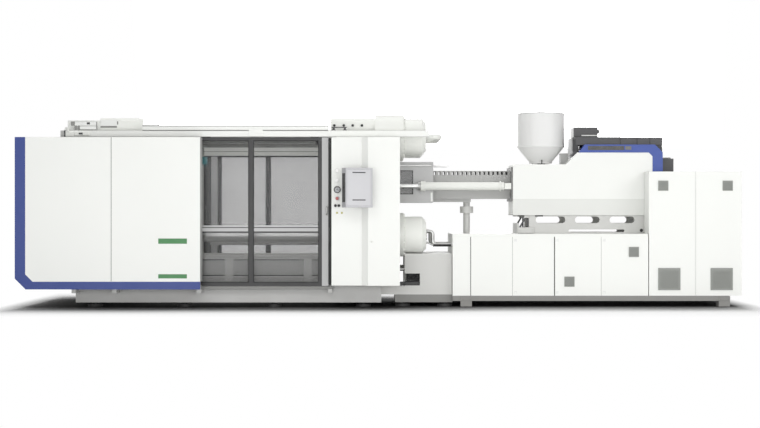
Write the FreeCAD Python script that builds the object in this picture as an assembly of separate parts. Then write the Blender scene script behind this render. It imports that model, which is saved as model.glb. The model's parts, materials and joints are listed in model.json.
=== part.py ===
import FreeCAD, Part
import math
import os

from FreeCAD import Vector

# Injection moulding machine: two-platen clamp on the left, injection unit on the right.
# Millimetres. +X runs from the clamp end to the electric cabinet, +Y away from the
# operator and +Z up. The origin is on the floor under the middle of the machine.

# ---------------------------------------------------------------- driving dimensions
# Lengths along X, from the clamp end
clamp_length = 4522.0
column_width = 980.0
gap_length = 776.0
injection_length = 2868.0
electric_length = 1354.0

# Machine axis, tie bars and platens
axis_height = 1765.0
tie_spacing_y = 1400.0
tie_spacing_z = 1440.0
tie_radius = 105.0
tie_left_overhang = 110.0
daylight = 2735.0
mould_stroke = 1700.0
fixed_platen_thickness = 647.0
moving_platen_thickness = 624.0
platen_width = 1880.0
platen_height = 1968.0
platen_chamfer = 40.0
platen_inset = 25.0
mould_bolt_spacings = (420.0, 700.0, 980.0)
mould_bolt_radius = 12.0
mould_bolt_depth = 60.0
locating_radius = 125.0
locating_depth = 60.0
nozzle_hole_radius = 62.0
funnel_radius = 260.0
robot_spacing_x = 300.0
robot_spacing_y = 600.0
robot_bolt_radius = 10.0
robot_bolt_depth = 40.0

# Tie bar locks on the moving platen
lock_length = 475.0
lock_size = 460.0
lock_wall = 40.0
lock_bush_radius = 146.0
lock_bush_length = 73.0
lock_actuator_radius = 50.0
lock_actuator_length = 85.0
lock_pin_radius = 15.0
nut_length = 340.0
nut_width = 130.0
nut_stroke = 45.0
groove_pitch = 50.0
groove_width = 25.0
groove_depth = 8.0
groove_count = 17
groove_start = 1137.0

# Clamping cylinders behind the fixed platen
press_radius = 320.0
press_length = 417.0
press_head = 66.0
press_bore = 180.0
press_bore_length = 290.0
press_flange_radius = 322.0
press_flange_length = 21.0
piston_length = 120.0
cap_radius = 266.0
cap_length = 332.0
cap_chamfer = 60.0

# Ejector
ejector_rod_radius = 24.0
ejector_spacing = 280.0
ejector_plate_width = 600.0
ejector_plate_height = 400.0
ejector_plate_thickness = 40.0
ejector_margin = 8.0
ejector_stroke = 170.0
ejector_cylinder_radius = 90.0
ejector_cylinder_length = 210.0
ejector_piston_radius = 40.0
yoke_gap = 238.0
yoke_thickness = 40.0
yoke_width = 840.0
yoke_height = 240.0
yoke_stud_radius = 30.0

# Platen travel cylinders in the base
travel_y = 330.0
travel_drop = 180.0
travel_radius = 75.0
travel_bore = 60.0
travel_rod_radius = 30.0
travel_margin = 200.0
travel_wall = 50.0
travel_bracket_thickness = 40.0
travel_bracket_width = 120.0

# Clamp base
pad_height = 64.0
pad_radius = 110.0
pad_plate = 34.0
pad_stem_radius = 40.0
base_inset = 793.0
base_overhang = 92.0
platen_lift = 81.0
base_width = 2000.0
beam_width = 320.0
beam_wall = 20.0
cross_bottom = 200.0
cross_length = 260.0
rail_height = 40.0
rail_width = 120.0
rail_y = 760.0
rail_margin = 50.0
foot_width = 280.0
foot_offset = 620.0
shoe_gap = 0.3

# Guards
guard_width = 2900.0
guard_rise = 685.0
guard_bottom = 272.0
panel_length = 2648.0
panel_seam = 1377.0
panel_fold = 45.0
sheet = 3.0
trim_width = 150.0
trim_band = 111.0
trim_chamfer = 155.0
trim_inner_chamfer = 105.0
post = 60.0
end_panel_depth = 40.0
seam_gap = 8.0

# Sliding doors
door_plane = 1080.0
door_overlap = 148.0
door_depth = 60.0
door_bottom = 308.0
door_top_rise = 11.0
door_stile = 60.0
door_top_rail = 44.0
door_bottom_rail = 47.0
door_mullion_right = 1090.0
rear_mullion_right = 981.0
rear_top_rail = 205.0
door_stop_gap = 11.0
closing_stile = 93.0
dark_stile = 44.0
glass = 8.0
seal_width = 42.0
door_stroke = 1750.0
handle_height = 1400.0
handle_length = 110.0
handle_radius = 10.0
handle_reach = 45.0
track_width = 110.0
track_height = 93.0
track_wall = 6.0
track_slot = 30.0
track_margin = 100.0
track_right_overhang = 428.0
bottom_track_height = 40.0
track_gap = 6.0
roller_radius = 30.0
roller_width = 30.0
hanger_thickness = 12.0
hanger_length = 120.0
hanger_inset = 200.0
duct_height = 76.0
duct_left = 1780.0
duct_wall = 3.0

# Control column
column_bottom = 325.0
column_back = 1040.0
column_step = 80.0
column_left_part = 433.0
column_fold = 91.0
column_wall = 4.0

# Operator panel
hmi_width = 403.0
hmi_height = 561.0
hmi_depth = 167.0
hmi_bottom = 1442.0
hmi_turn = 20.0
hmi_pivot_x = 333.0
hmi_pivot_reach = 110.0
hmi_pivot_gap = 45.0
hmi_pivot_offset = -5.0
hmi_arm_width = 80.0
hmi_arm_height = 100.0
hmi_pin_radius = 15.0
hmi_knuckle_radius = 32.0
hmi_knuckle_height = 60.0
hmi_recess = 6.0
hmi_border = 24.0

# Push buttons on the column, as (offset from the column's left edge, height)
button_stem_radius = 8.0
button_travel = 5.0
bezel_height = 12.0
bezel_wall = 7.0
white_button_radius = 28.0
white_buttons = ((73.0, 1975.0), (73.0, 1836.0))
yellow_button_radius = 15.0
yellow_buttons = ((79.0, 1366.0), (149.0, 1366.0))
stop_radius = 24.0
stop_at = (81.0, 1573.0)
stop_stand_off = 18.0
stop_cap = 22.0
gauge_radius = 49.0
gauge_depth = 30.0
gauge_at = (83.0, 1699.0)
gauge_wall = 4.0
key_switch_radius = 20.0
key_switch_spacing = 48.0
key_switch_height = 1470.0
key_switch_depth = 18.0

# Centre tank and its skid
tank_inset = 75.0
tank_right_gap = 8.0
tank_bottom = 171.0
tank_clearance = 10.0
tank_width = 1600.0
tank_recess_width = 225.0
tank_recess_depth = 200.0
tank_recess_bottom = 302.0
tank_recess_top = 478.0
tank_wall = 6.0
sill_height = 124.0
tank_skid_bottom = 57.0
tank_skid_left = 65.0
skid_beam = 140.0
pipe_radius = 25.0
pipe_drop = 162.0

# Injection base, its skid and cabinet doors
skid_bottom = 81.0
skid_top = 157.0
skid_right_gap = 178.0
foot_length = 164.0
foot_depth = 220.0
foot_left = 117.0
foot_right_gap = 171.0
base_cabinet_drop = 707.0
base_cabinet_width = 1800.0
cabinet_wall = 5.0
door_seams = (260.0, 875.0, 1482.0, 2170.0)
cabinet_door_depth = 25.0
cabinet_door_sheet = 3.0
cabinet_door_gap = 4.0
door_margin = 41.0
cabinet_lip = 40.0
electric_top = 1970.0
electric_depth = 450.0
electric_seam = 682.0
electric_gap = 10.0
vent_size = 147.0
vent_large = 323.0
vent_proud = 12.0
vent_slats = 7
door_vent_margin = 133.0
small_vent_foot = 82.0
lock_radius = 14.0
lock_proud = 10.0

# Hydraulic unit in the base and drives in the electric cabinet
oil_tank_length = 900.0
oil_tank_width = 1100.0
oil_tank_height = 560.0
motor_radius = 170.0
motor_length = 520.0
pump_radius = 90.0
pump_length = 240.0
unit_left = 420.0
drive_count = 5
drive_width = 180.0
drive_height = 420.0
drive_depth = 240.0
drive_plate = 5.0

# Injection bed and barrel support
bed_left = 980.0
bed_length = 1907.0
bed_width = 840.0
bed_drop = 433.0
bed_plate = 30.0
bed_floor = 20.0
bed_slots = ((277.0, 440.0), (860.0, 368.0), (1376.0, 368.0))
bed_slot_drop = 118.0
bed_slot_height = 98.0
low_slot_start = 765.0
low_slot_length = 831.0
low_slot_rise = 22.0
low_slot_height = 40.0
bed_rail_height = 12.7
bed_notch_length = 176.0
bed_notch_bottom = 94.0
bed_notch_drop = 20.0
post_offset = 248.0
post_radius = 50.0
post_collar_radius = 100.0
post_collar_drop = 400.0
post_collar_height = 100.0

# Injection carriage
carriage_gap = 0.3
cover_left = 915.0
cover_length = 2076.0
cover_width = 880.0
cover_low_rise = 29.0
cover_low_length = 792.0
cover_ramp = 168.0
cover_step = 175.0
cover_chamfer = 55.0
cover_wall = 4.0
base_plate_thickness = 75.0
throat_left = 287.0
throat_length = 330.0
throat_width = 440.0
throat_rise = 295.0
flange_thickness = 26.0
flange_drop = 223.0
flange_rise = 285.0
neck_size = 380.0
feed_radius = 50.0
barrel_radius = 125.0
band_radius = 135.0
band_length = 90.0
band_pitch = 150.0
band_count = 9
band_start = 120.0
barrel_front_gap = 148.0
nozzle_length = 580.0
nozzle_tip_length = 340.0
nozzle_tip_radius = 30.0
nozzle_bore = 8.0
screw_radius = 50.0
screw_core = 34.0
screw_pitch = 100.0
screw_flight = 12.0
screw_clearance = 0.3
screw_stroke = 450.0
shank_radius = 45.0
shank_length = 200.0
ram_radius = 60.0
ram_piston_radius = 140.0
ram_piston_length = 100.0
ram_cylinder_radius = 210.0
ram_cylinder_margin = 300.0
ram_cylinder_wall = 50.0
ram_cylinder_gap = 540.0
ram_piston_margin = 10.0

# Shroud, tray and carriage cylinders
shroud_length = 1155.0
shroud_width = 420.0
shroud_drop = 187.0
shroud_rise = 231.0
shroud_slots = 17
shroud_slot_pitch = 67.0
shroud_slot_width = 30.0
shroud_slot_depth = 60.0
tray_length = 569.0
tray_height = 47.0
tray_width = 300.0
jack_y = 400.0
jack_radius = 61.0
jack_length = 1182.0
jack_bore = 45.0
jack_wall = 70.0
jack_rod_radius = 33.0
jack_piston_length = 40.0
jack_piston_at = 430.0
jack_collar_radius = 75.0
jack_collar_length = 58.0
clevis_length = 105.0
clevis_height = 90.0
clevis_eye_width = 40.0
clevis_ear_width = 24.0
clevis_pin_radius = 20.0

# Purge guard
purge_width = 640.0
purge_drop = 246.0
purge_rise = 363.0
purge_right = 511.0
purge_wall = 4.0
purge_window_inset = 311.0
purge_window_length = 350.0
purge_window_rise = 135.0
purge_window_height = 336.0
purge_stroke = 220.0
purge_rod_radius = 8.0
purge_rod_drop = 55.0
purge_rod_margin = 10.0
purge_lug = 28.0

# Hood, drive unit and hopper
hood_left = 987.0
hood_rise = 119.0
hood_band = 112.0
hood_end = 152.0
hood_chamfer = 116.0
hood_left_chamfer = 83.0
hood_bottom_rise = 68.0
hood_wall = 4.0
hood_proud = 5.0
drive_left = 900.0
drive_length = 1344.0
drive_unit_width = 640.0
drive_band_height = 111.0
drive_box_left = 30.0
drive_box_length = 364.0
drive_box_height = 160.0
drive_box_width = 400.0
rear_motor_drop = 394.0
rear_motor_height = 193.0
rear_motor_length = 205.0
rear_motor_width = 360.0
side_box_left = 745.0
side_box_length = 117.0
side_box_width = 200.0
hopper_radius = 358.0
hopper_wall = 3.0
hopper_wall_height = 491.0
hopper_cone_height = 237.0
hopper_cone_radius = 165.0
hopper_seat_rise = 70.0
hopper_base_size = 240.0
lid_rise = 40.0
lid_rim = 8.0
hinge_offset = 20.0
hinge_width = 44.0
hinge_radius = 8.0
hinge_pin_radius = 4.0
gate_width = 120.0
gate_thickness = 8.0
gate_handle = 90.0
gate_grip_height = 60.0

# Cooling water manifold on the rear service panel
manifold_height = 900.0
manifold_rise = 500.0
manifold_length = 800.0
manifold_header = 70.0
manifold_tubes = 8
manifold_tube_radius = 14.0
manifold_knob_radius = 20.0
manifold_knob_length = 30.0
nipple_radius = 9.0
nipple_length = 40.0

# Fits between moving pieces
running_gap = 0.3
bar_gap = 0.5

# ---------------------------------------------------------------- derived places
total_length = clamp_length + column_width + gap_length + injection_length + electric_length
x_left = -total_length / 2
x_column = x_left + clamp_length
x_gap = x_column + column_width
x_base = x_gap + gap_length
x_electric = x_base + injection_length
x_right = x_electric + electric_length

x_fixed = x_column - platen_inset
x_fixed_back = x_fixed + fixed_platen_thickness
x_mould = x_fixed - daylight
x_moving_back = x_mould - moving_platen_thickness
travel_length = mould_stroke + travel_margin
ejector_plate_gap = ejector_stroke + ejector_margin
x_lock = x_moving_back - lock_length
x_press = x_fixed_back + press_length
x_cap = x_press + cap_length

tie_y = tie_spacing_y / 2
tie_z = tie_spacing_z / 2
tie_points = [(sy * tie_y, axis_height + sz * tie_z) for sz in (-1, 1) for sy in (-1, 1)]
tank_top = axis_height - tie_z - cap_radius - tank_clearance
platen_bottom = axis_height - platen_height / 2
platen_top = axis_height + platen_height / 2

# Heights that follow the machine axis
base_top = platen_bottom - platen_lift
travel_z = base_top - travel_drop
guard_top = axis_height + guard_rise
door_top = guard_top + door_top_rise
pipe_height = base_top - pipe_drop
base_cabinet_top = axis_height - base_cabinet_drop
bed_top = axis_height - bed_drop
bed_slot_bottom = bed_top - bed_slot_drop
low_slot_bottom = base_cabinet_top + low_slot_rise
throat_top = axis_height + throat_rise
cover_low_top = throat_top + cover_low_rise
cover_top = cover_low_top + cover_step
hood_top = cover_top + hood_rise
hood_bottom = bed_top + hood_bottom_rise
shroud_bottom = axis_height - shroud_drop
shroud_top = axis_height + shroud_rise
purge_bottom = axis_height - purge_drop
purge_top = axis_height + purge_rise
purge_window_bottom = purge_bottom + purge_window_rise
purge_window_top = purge_window_bottom + purge_window_height
purge_rod_z = purge_top - purge_rod_drop
rear_motor_bottom = hood_top - rear_motor_drop
rear_motor_top = rear_motor_bottom + rear_motor_height
hopper_cone_bottom = throat_top + hopper_seat_rise
hopper_junction = hopper_cone_bottom + hopper_cone_height
hopper_rim = hopper_junction + hopper_wall_height
post_collar_bottom = axis_height - post_collar_drop

guard_half = guard_width / 2
x_panel_end = x_left + panel_length
x_door = x_panel_end - door_overlap
x_door_end = x_column - seal_width - door_stop_gap
x_track = x_door - door_stroke - track_margin
base_half = base_width / 2
x_clamp_base = x_left + base_inset
x_clamp_base_end = x_fixed_back + base_overhang

x_cover = x_base + cover_left
x_cover_end = x_cover + cover_length
x_flange = x_cover - flange_thickness
x_barrel = x_cover + throat_left + throat_length
x_barrel_front = x_gap + barrel_front_gap
x_throat = x_cover + throat_left
x_hopper = x_throat + throat_length / 2
x_ram = x_barrel + ram_cylinder_gap
x_ram_end = x_ram + screw_stroke + ram_cylinder_margin
x_piston = x_ram + ram_cylinder_wall + ram_piston_margin
x_purge_end = x_gap + purge_right
x_purge_rod_end = x_purge_end + purge_stroke + purge_rod_margin
z_carriage = bed_top + bed_rail_height + carriage_gap
z_platform = z_carriage + base_plate_thickness
x_jack_end = x_flange - clevis_length
x_jack = x_jack_end - jack_length
x_bed = x_base + bed_left
cover_half = cover_width / 2
x_hood = x_cover + hood_left
x_hood_end = x_cover_end + hood_end
x_drive = x_cover + drive_left
column_front = guard_half
z_rail = door_top + track_gap
z_low_track = door_bottom - track_gap - bottom_track_height
button_face = guard_half - column_step
X = Vector(1, 0, 0)
Y = Vector(0, 1, 0)
Z = Vector(0, 0, 1)


# ---------------------------------------------------------------- shaping helpers
def block(x0, x1, y0, y1, z0, z1):
    return Part.makeBox(x1 - x0, y1 - y0, z1 - z0, Vector(x0, y0, z0))


def bar_x(radius, x0, x1, y, z):
    return Part.makeCylinder(radius, x1 - x0, Vector(x0, y, z), X)


def bar_y(radius, x, y0, y1, z):
    return Part.makeCylinder(radius, y1 - y0, Vector(x, y0, z), Y)


def bar_z(radius, x, y, z0, z1):
    return Part.makeCylinder(radius, z1 - z0, Vector(x, y, z0), Z)


def taper_x(radius_a, radius_b, x0, x1, y, z):
    return Part.makeCone(radius_a, radius_b, x1 - x0, Vector(x0, y, z), X)


def taper_z(radius_a, radius_b, x, y, z0, z1):
    return Part.makeCone(radius_a, radius_b, z1 - z0, Vector(x, y, z0), Z)


def prism(corners, along):
    return Part.Face(Part.makePolygon(corners + corners[:1])).extrude(along)


def side_prism(points, y0, y1):
    """A prism along Y from an outline of (x, z) points."""
    return prism([Vector(x, y0, z) for x, z in points], Y * (y1 - y0))


def plan_prism(points, z0, z1):
    """A prism along Z from an outline of (x, y) points."""
    return prism([Vector(x, y, z0) for x, y in points], Z * (z1 - z0))


def inset(points, wall):
    """The outline moved inwards by the thickness of its sheet."""
    ahead = points[1:] + points[:1]
    area = sum(a[0] * b[1] - b[0] * a[1] for a, b in zip(points, ahead))
    side = math.copysign(wall, area)
    moved = []
    for before, here, after in zip(points[-1:] + points[:-1], points, ahead):
        first = Vector(here[0] - before[0], here[1] - before[1], 0).normalize()
        second = Vector(after[0] - here[0], after[1] - here[1], 0).normalize()
        reach = side / (1 + first.dot(second))
        moved.append((here[0] - reach * (first.y + second.y), here[1] + reach * (first.x + second.x)))
    return moved


def fused(shapes):
    return shapes[0].multiFuse(shapes[1:]).removeSplitter()


def drilled(shape, tools):
    return shape.cut(tools)


def mirrored(shape):
    """The same piece on the far side of the machine's middle plane."""
    return shape.mirror(Vector(0, 0, 0), Y)


def both_sides(shapes):
    return shapes + [mirrored(shape) for shape in shapes]


def hollow_box(x0, x1, y0, y1, z0, z1, wall):
    outer = block(x0, x1, y0, y1, z0, z1)
    return outer.cut(block(x0 + wall, x1 - wall, y0 + wall, y1 - wall, z0 + wall, z1 - wall))


def tray(x0, x1, y_face, depth, z0, z1, wall):
    """A sheet panel facing -Y at y_face, its edges folded back by depth."""
    outer = block(x0, x1, y_face, y_face + depth, z0, z1)
    return outer.cut(block(x0 + wall, x1 - wall, y_face + wall, y_face + depth, z0 + wall, z1 - wall))


def bent_pipe(radius, points, bend):
    """A rigid pipe through the points, with round bends between its straight runs."""
    corners = [Vector(*point) for point in points]
    edges = []
    start = corners[0]
    for before, here, after in zip(corners, corners[1:], corners[2:]):
        back = (before - here).normalize()
        ahead = (after - here).normalize()
        half_turn = back.getAngle(ahead) / 2
        trim = bend / math.tan(half_turn)
        a = here + back * trim
        b = here + ahead * trim
        middle = here + (back + ahead).normalize() * (bend / math.sin(half_turn) - bend)
        edges.append(Part.LineSegment(start, a).toShape())
        edges.append(Part.Arc(a, middle, b).toShape())
        start = b
    edges.append(Part.LineSegment(start, corners[-1]).toShape())
    path = Part.Wire(edges)
    direction = (corners[1] - corners[0]).normalize()
    ring = Part.Wire([Part.makeCircle(radius, corners[0], direction)])
    return path.makePipeShell([ring], True, False, 2)


def save(node, shapes):
    shape = shapes[0] if len(shapes) == 1 else Part.makeCompound(shapes)
    shape.exportStep("parts/" + node + ".step")


# ---------------------------------------------------------------- clamp base
def clamp_base():
    """Two box beams, joined under the left end and under the fixed platen."""
    beam = hollow_box(x_clamp_base, x_clamp_base_end, -base_half, beam_width - base_half,
                      pad_height, base_top, beam_wall)
    inner = base_half - beam_width
    left_cross = hollow_box(x_clamp_base, x_clamp_base + cross_length, -inner, inner,
                            pad_height, cross_bottom + rail_height, beam_wall)
    right_cross = hollow_box(x_fixed, x_clamp_base_end, -inner, inner,
                             cross_bottom, base_top - beam_wall, beam_wall)
    return both_sides([beam]) + [left_cross, right_cross]


def guide_rails():
    """Hardened flat ways that carry the moving platen."""
    rail = block(x_clamp_base + rail_margin, x_fixed - rail_margin,
                 -rail_y - rail_width / 2, -rail_y + rail_width / 2, base_top, base_top + rail_height)
    return both_sides([rail])


def levelling_pad(x, y, top):
    return fused([bar_z(pad_radius, x, y, 0, pad_plate), bar_z(pad_stem_radius, x, y, pad_plate, top)])


def levelling_pads():
    """Screw pads under the clamp base and tank skid, wedge feet under the injection skid."""
    pads = []
    span = x_clamp_base_end - x_clamp_base - 2 * cross_length
    for step in range(4):
        x = x_clamp_base + cross_length + step * span / 3
        pads.append(levelling_pad(x, beam_width / 2 - base_half, pad_height))
    for x in (x_gap - tank_skid_left + pad_radius, x_base - pad_radius):
        pads.append(levelling_pad(x, (skid_beam - tank_width) / 2, tank_skid_bottom))
    for x in (x_base + foot_left, x_right - foot_right_gap - foot_length):
        pads.append(block(x, x + foot_length, -base_cabinet_width / 2, foot_depth - base_cabinet_width / 2,
                          0, skid_bottom))
    return both_sides(pads)


# ---------------------------------------------------------------- platens and tie bars
def chamfered_slab(x0, x1):
    slab = block(x0, x1, -platen_width / 2, platen_width / 2, platen_bottom, platen_top)
    corners = [edge for edge in slab.Edges if abs(edge.Vertexes[0].X - edge.Vertexes[1].X) > 1]
    return slab.makeChamfer(platen_chamfer, corners)


def mould_holes(x_face, direction):
    """Blind tapped holes for mould clamps, as squares round the machine axis."""
    x0, x1 = sorted((x_face, x_face + direction * mould_bolt_depth))
    holes = []
    for spacing in mould_bolt_spacings:
        for dy, dz in ((-1, -1), (1, -1), (-1, 1), (1, 1)):
            holes.append(bar_x(mould_bolt_radius, x0, x1, dy * spacing / 2, axis_height + dz * spacing / 2))
    return holes


def fixed_platen():
    """Cast platen with tie bar holes, a locating bore and a funnel for the nozzle."""
    slab = chamfered_slab(x_fixed, x_fixed_back)
    feet = [block(x_fixed, x_fixed_back, sy * foot_offset - foot_width * (sy < 0),
                  sy * foot_offset + foot_width * (sy > 0), base_top, platen_bottom) for sy in (-1, 1)]
    x_cone = x_fixed + locating_depth + nozzle_hole_radius
    holes = [bar_x(tie_radius + bar_gap, x_fixed, x_fixed_back, y, z) for y, z in tie_points]
    holes += mould_holes(x_fixed, 1)
    holes.append(bar_x(locating_radius, x_fixed, x_fixed + locating_depth, 0, axis_height))
    holes.append(bar_x(nozzle_hole_radius, x_fixed, x_fixed_back, 0, axis_height))
    holes.append(taper_x(nozzle_hole_radius, funnel_radius, x_cone, x_fixed_back, 0, axis_height))
    x_middle = (x_fixed + x_fixed_back) / 2
    for sx in (-1, 1):
        for sy in (-1, 1):
            holes.append(bar_z(robot_bolt_radius, x_middle + sx * robot_spacing_x / 2,
                               sy * robot_spacing_y / 2, platen_top - robot_bolt_depth, platen_top))
    return [drilled(fused([slab] + feet), holes)]


def pressure_cylinder(y, z):
    """Short clamping cylinder: its head is bored for the tie bar, the rest for its piston."""
    body = fused([bar_x(press_radius, x_fixed_back, x_press, y, z),
                  bar_x(press_flange_radius, x_press - press_flange_length, x_press, y, z)])
    x_bore = x_fixed_back + press_head
    return drilled(body, [bar_x(tie_radius + bar_gap, x_fixed_back, x_bore, y, z),
                          bar_x(press_bore, x_bore, x_bore + press_bore_length, y, z)])


def pressure_cylinders():
    return [pressure_cylinder(y, z) for y, z in tie_points]


def cylinder_caps():
    """Domed-edge caps closing the clamping cylinders."""
    caps = []
    for y, z in tie_points:
        caps.append(fused([bar_x(cap_radius, x_press, x_cap - cap_chamfer, y, z),
                           taper_x(cap_radius, cap_radius - cap_chamfer, x_cap - cap_chamfer, x_cap, y, z)]))
    return caps


def tie_bars():
    """Tie bars with a locking zone of ring grooves and a piston at the right end."""
    x0 = x_lock - tie_left_overhang
    x_piston_a = x_fixed_back + press_head + bar_gap
    x_end = x_piston_a + piston_length
    half = [(x0, 0), (x0, tie_radius)]
    for step in range(groove_count):
        x = x_lock + groove_start + step * groove_pitch
        half += [(x, tie_radius), (x, tie_radius - groove_depth),
                 (x + groove_width, tie_radius - groove_depth), (x + groove_width, tie_radius)]
    half += [(x_piston_a, tie_radius), (x_piston_a, 0)]
    bars = []
    for y, z in tie_points:
        corners = [Vector(x, y, z + r) for x, r in half]
        profile = Part.Face(Part.makePolygon(corners + corners[:1]))
        bars.append(profile.revolve(Vector(x0, y, z), X, 360))
        bars.append(bar_x(press_bore - running_gap, x_piston_a, x_end, y, z))
    return bars


def ejector_holes(radius, x0, x1):
    return [bar_x(radius, x0, x1, sy * ejector_spacing / 2, axis_height + sz * ejector_spacing / 2)
            for sy in (-1, 1) for sz in (-1, 1)]


def moving_platen():
    """Cast platen on four tie bars and two sliding shoes, with the ejector's yoke behind it."""
    slab = chamfered_slab(x_moving_back, x_mould)
    rail_top = base_top + rail_height
    shoes = [block(x_moving_back, x_mould, sy * rail_y - rail_width / 2, sy * rail_y + rail_width / 2,
                   rail_top + shoe_gap, platen_bottom) for sy in (-1, 1)]
    holes = [bar_x(tie_radius + bar_gap, x_moving_back, x_mould, y, z) for y, z in tie_points]
    holes += mould_holes(x_mould, -1)
    holes += ejector_holes(ejector_rod_radius + running_gap, x_moving_back, x_mould)
    x_yoke = x_moving_back - yoke_gap
    yoke = block(x_yoke - yoke_thickness, x_yoke, -yoke_width / 2, yoke_width / 2,
                 axis_height - yoke_height / 2, axis_height + yoke_height / 2)
    stud_y = (yoke_width + ejector_plate_width) / 4
    studs = [bar_x(yoke_stud_radius, x_yoke, x_moving_back, sy * stud_y, axis_height) for sy in (-1, 1)]
    x_cylinder = x_yoke - yoke_thickness - ejector_cylinder_length
    cylinder = bar_x(ejector_cylinder_radius, x_cylinder, x_yoke - yoke_thickness, 0, axis_height)
    holes.append(bar_x(ejector_piston_radius + running_gap, x_cylinder + beam_wall,
                       x_yoke, 0, axis_height))
    return [drilled(fused([slab, yoke, cylinder] + shoes + studs), holes)]


def ejector_plate():
    """Plate with four ejector rods through the platen and the ejector piston behind it."""
    x_plate = x_moving_back - ejector_plate_gap
    plate = block(x_plate - ejector_plate_thickness, x_plate,
                  -ejector_plate_width / 2, ejector_plate_width / 2,
                  axis_height - ejector_plate_height / 2, axis_height + ejector_plate_height / 2)
    rods = ejector_holes(ejector_rod_radius, x_plate, x_mould - platen_inset)
    x_cylinder = x_moving_back - yoke_gap - yoke_thickness - ejector_cylinder_length
    piston = bar_x(ejector_piston_radius, x_cylinder + 2 * beam_wall, x_plate - ejector_plate_thickness,
                   0, axis_height)
    return [fused([plate, piston] + rods)]


# ---------------------------------------------------------------- tie bar locks
def lock_housing(y, z):
    """Box round a tie bar, open towards the platen, with a bush and two side actuators."""
    half = lock_size / 2
    body = block(x_lock, x_moving_back, y - half, y + half, z - half, z + half)
    bush = bar_x(lock_bush_radius, x_lock - lock_bush_length, x_lock, y, z)
    actuators = [bar_y(lock_actuator_radius, x_lock + lock_length / 2, start, start + lock_actuator_length, z)
                 for start in (y - half - lock_actuator_length, y + half)]
    inner = half - lock_wall
    cavity = block(x_lock + lock_wall, x_moving_back, y - inner, y + inner, z - inner, z + inner)
    bore = bar_x(tie_radius + bar_gap, x_lock - lock_bush_length, x_lock + lock_wall, y, z)
    reach = half + lock_actuator_length - lock_wall / 2
    pins = bar_y(lock_pin_radius + running_gap, x_lock + lock_length / 2, y - reach, y + reach, z)
    return drilled(fused([body, bush] + actuators), [cavity, bore, pins])


def lock_housings():
    return [lock_housing(y, z) for y, z in tie_points]


def half_nut(y, z, side):
    """Half of a split nut, drawn back from the bar, with internal ring teeth."""
    height = lock_size / 2 - lock_wall - running_gap
    x0 = x_lock + lock_wall + (lock_length - lock_wall - nut_length) / 2
    near, far = sorted((side * running_gap, side * nut_width))
    body = block(x0, x0 + nut_length, y + near, y + far, z - height, z + height)
    cuts = [bar_x(tie_radius + bar_gap, x0, x0 + nut_length, y, z)]
    step = x0 + groove_width
    while step + groove_width < x0 + nut_length:
        cuts.append(bar_x(tie_radius + groove_depth, step, step + groove_width, y, z))
        step += groove_pitch
    nut = drilled(body, cuts)
    reach = lock_size / 2 - lock_wall / 2
    pin_near, pin_far = sorted((side * nut_width, side * reach))
    pin = bar_y(lock_pin_radius, x_lock + lock_length / 2, y + pin_near, y + pin_far, z)
    nut = fused([nut, pin])
    nut.translate(Y * (side * nut_stroke))
    return nut


def split_nuts(side):
    return [half_nut(y, z, side) for y, z in tie_points]


# ---------------------------------------------------------------- platen travel cylinders
def travel_cylinders():
    """Long cylinders between the base beams that push the moving platen."""
    x0 = x_fixed - travel_length
    tube = bar_x(travel_radius, x0, x_fixed, -travel_y, travel_z)
    bore = bar_x(travel_bore + running_gap, x0 + travel_wall, x_fixed - travel_wall, -travel_y, travel_z)
    gland = bar_x(travel_rod_radius + running_gap, x0, x0 + travel_wall, -travel_y, travel_z)
    return both_sides([drilled(tube, [bore, gland])])


def travel_rods():
    """Rods and pistons of the travel cylinders, hung from the platen's lock housings."""
    x_plate = x_lock + lock_wall
    x_piston_a = x_fixed - travel_length + travel_wall + travel_bracket_thickness
    z_top = axis_height - tie_z - lock_size / 2
    y_in = travel_bracket_width / 2
    hanger = block(x_plate, x_plate + travel_bracket_thickness, -travel_y - y_in, -travel_y + y_in,
                   travel_z - travel_radius, z_top)
    lug = block(x_plate, x_plate + travel_bracket_thickness, lock_size / 2 - tie_y - foot_width / 2,
                -travel_y + y_in, z_top - travel_bracket_thickness, z_top)
    rod = bar_x(travel_rod_radius, x_plate + travel_bracket_thickness, x_piston_a, -travel_y, travel_z)
    piston = bar_x(travel_bore, x_piston_a, x_piston_a + travel_bracket_thickness, -travel_y, travel_z)
    return both_sides([fused([hanger, lug, rod, piston])])


# ---------------------------------------------------------------- guards and doors
def corner_trim():
    """Painted L-shaped trim down the left edge and along the foot of the front guard."""
    z_band = guard_bottom + trim_band
    x_in = x_left + trim_width
    outer = [(x_left, guard_top), (x_left, guard_bottom + trim_chamfer),
             (x_left + trim_chamfer, guard_bottom),
             (x_panel_end, guard_bottom), (x_panel_end, z_band), (x_in + trim_inner_chamfer, z_band),
             (x_in, z_band + trim_inner_chamfer), (x_in, guard_top)]
    skin = side_prism(outer, -guard_half, panel_fold - guard_half)
    inner = side_prism(inset(outer, sheet), sheet - guard_half, panel_fold - guard_half)
    return [skin.cut(inner)]


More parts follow.
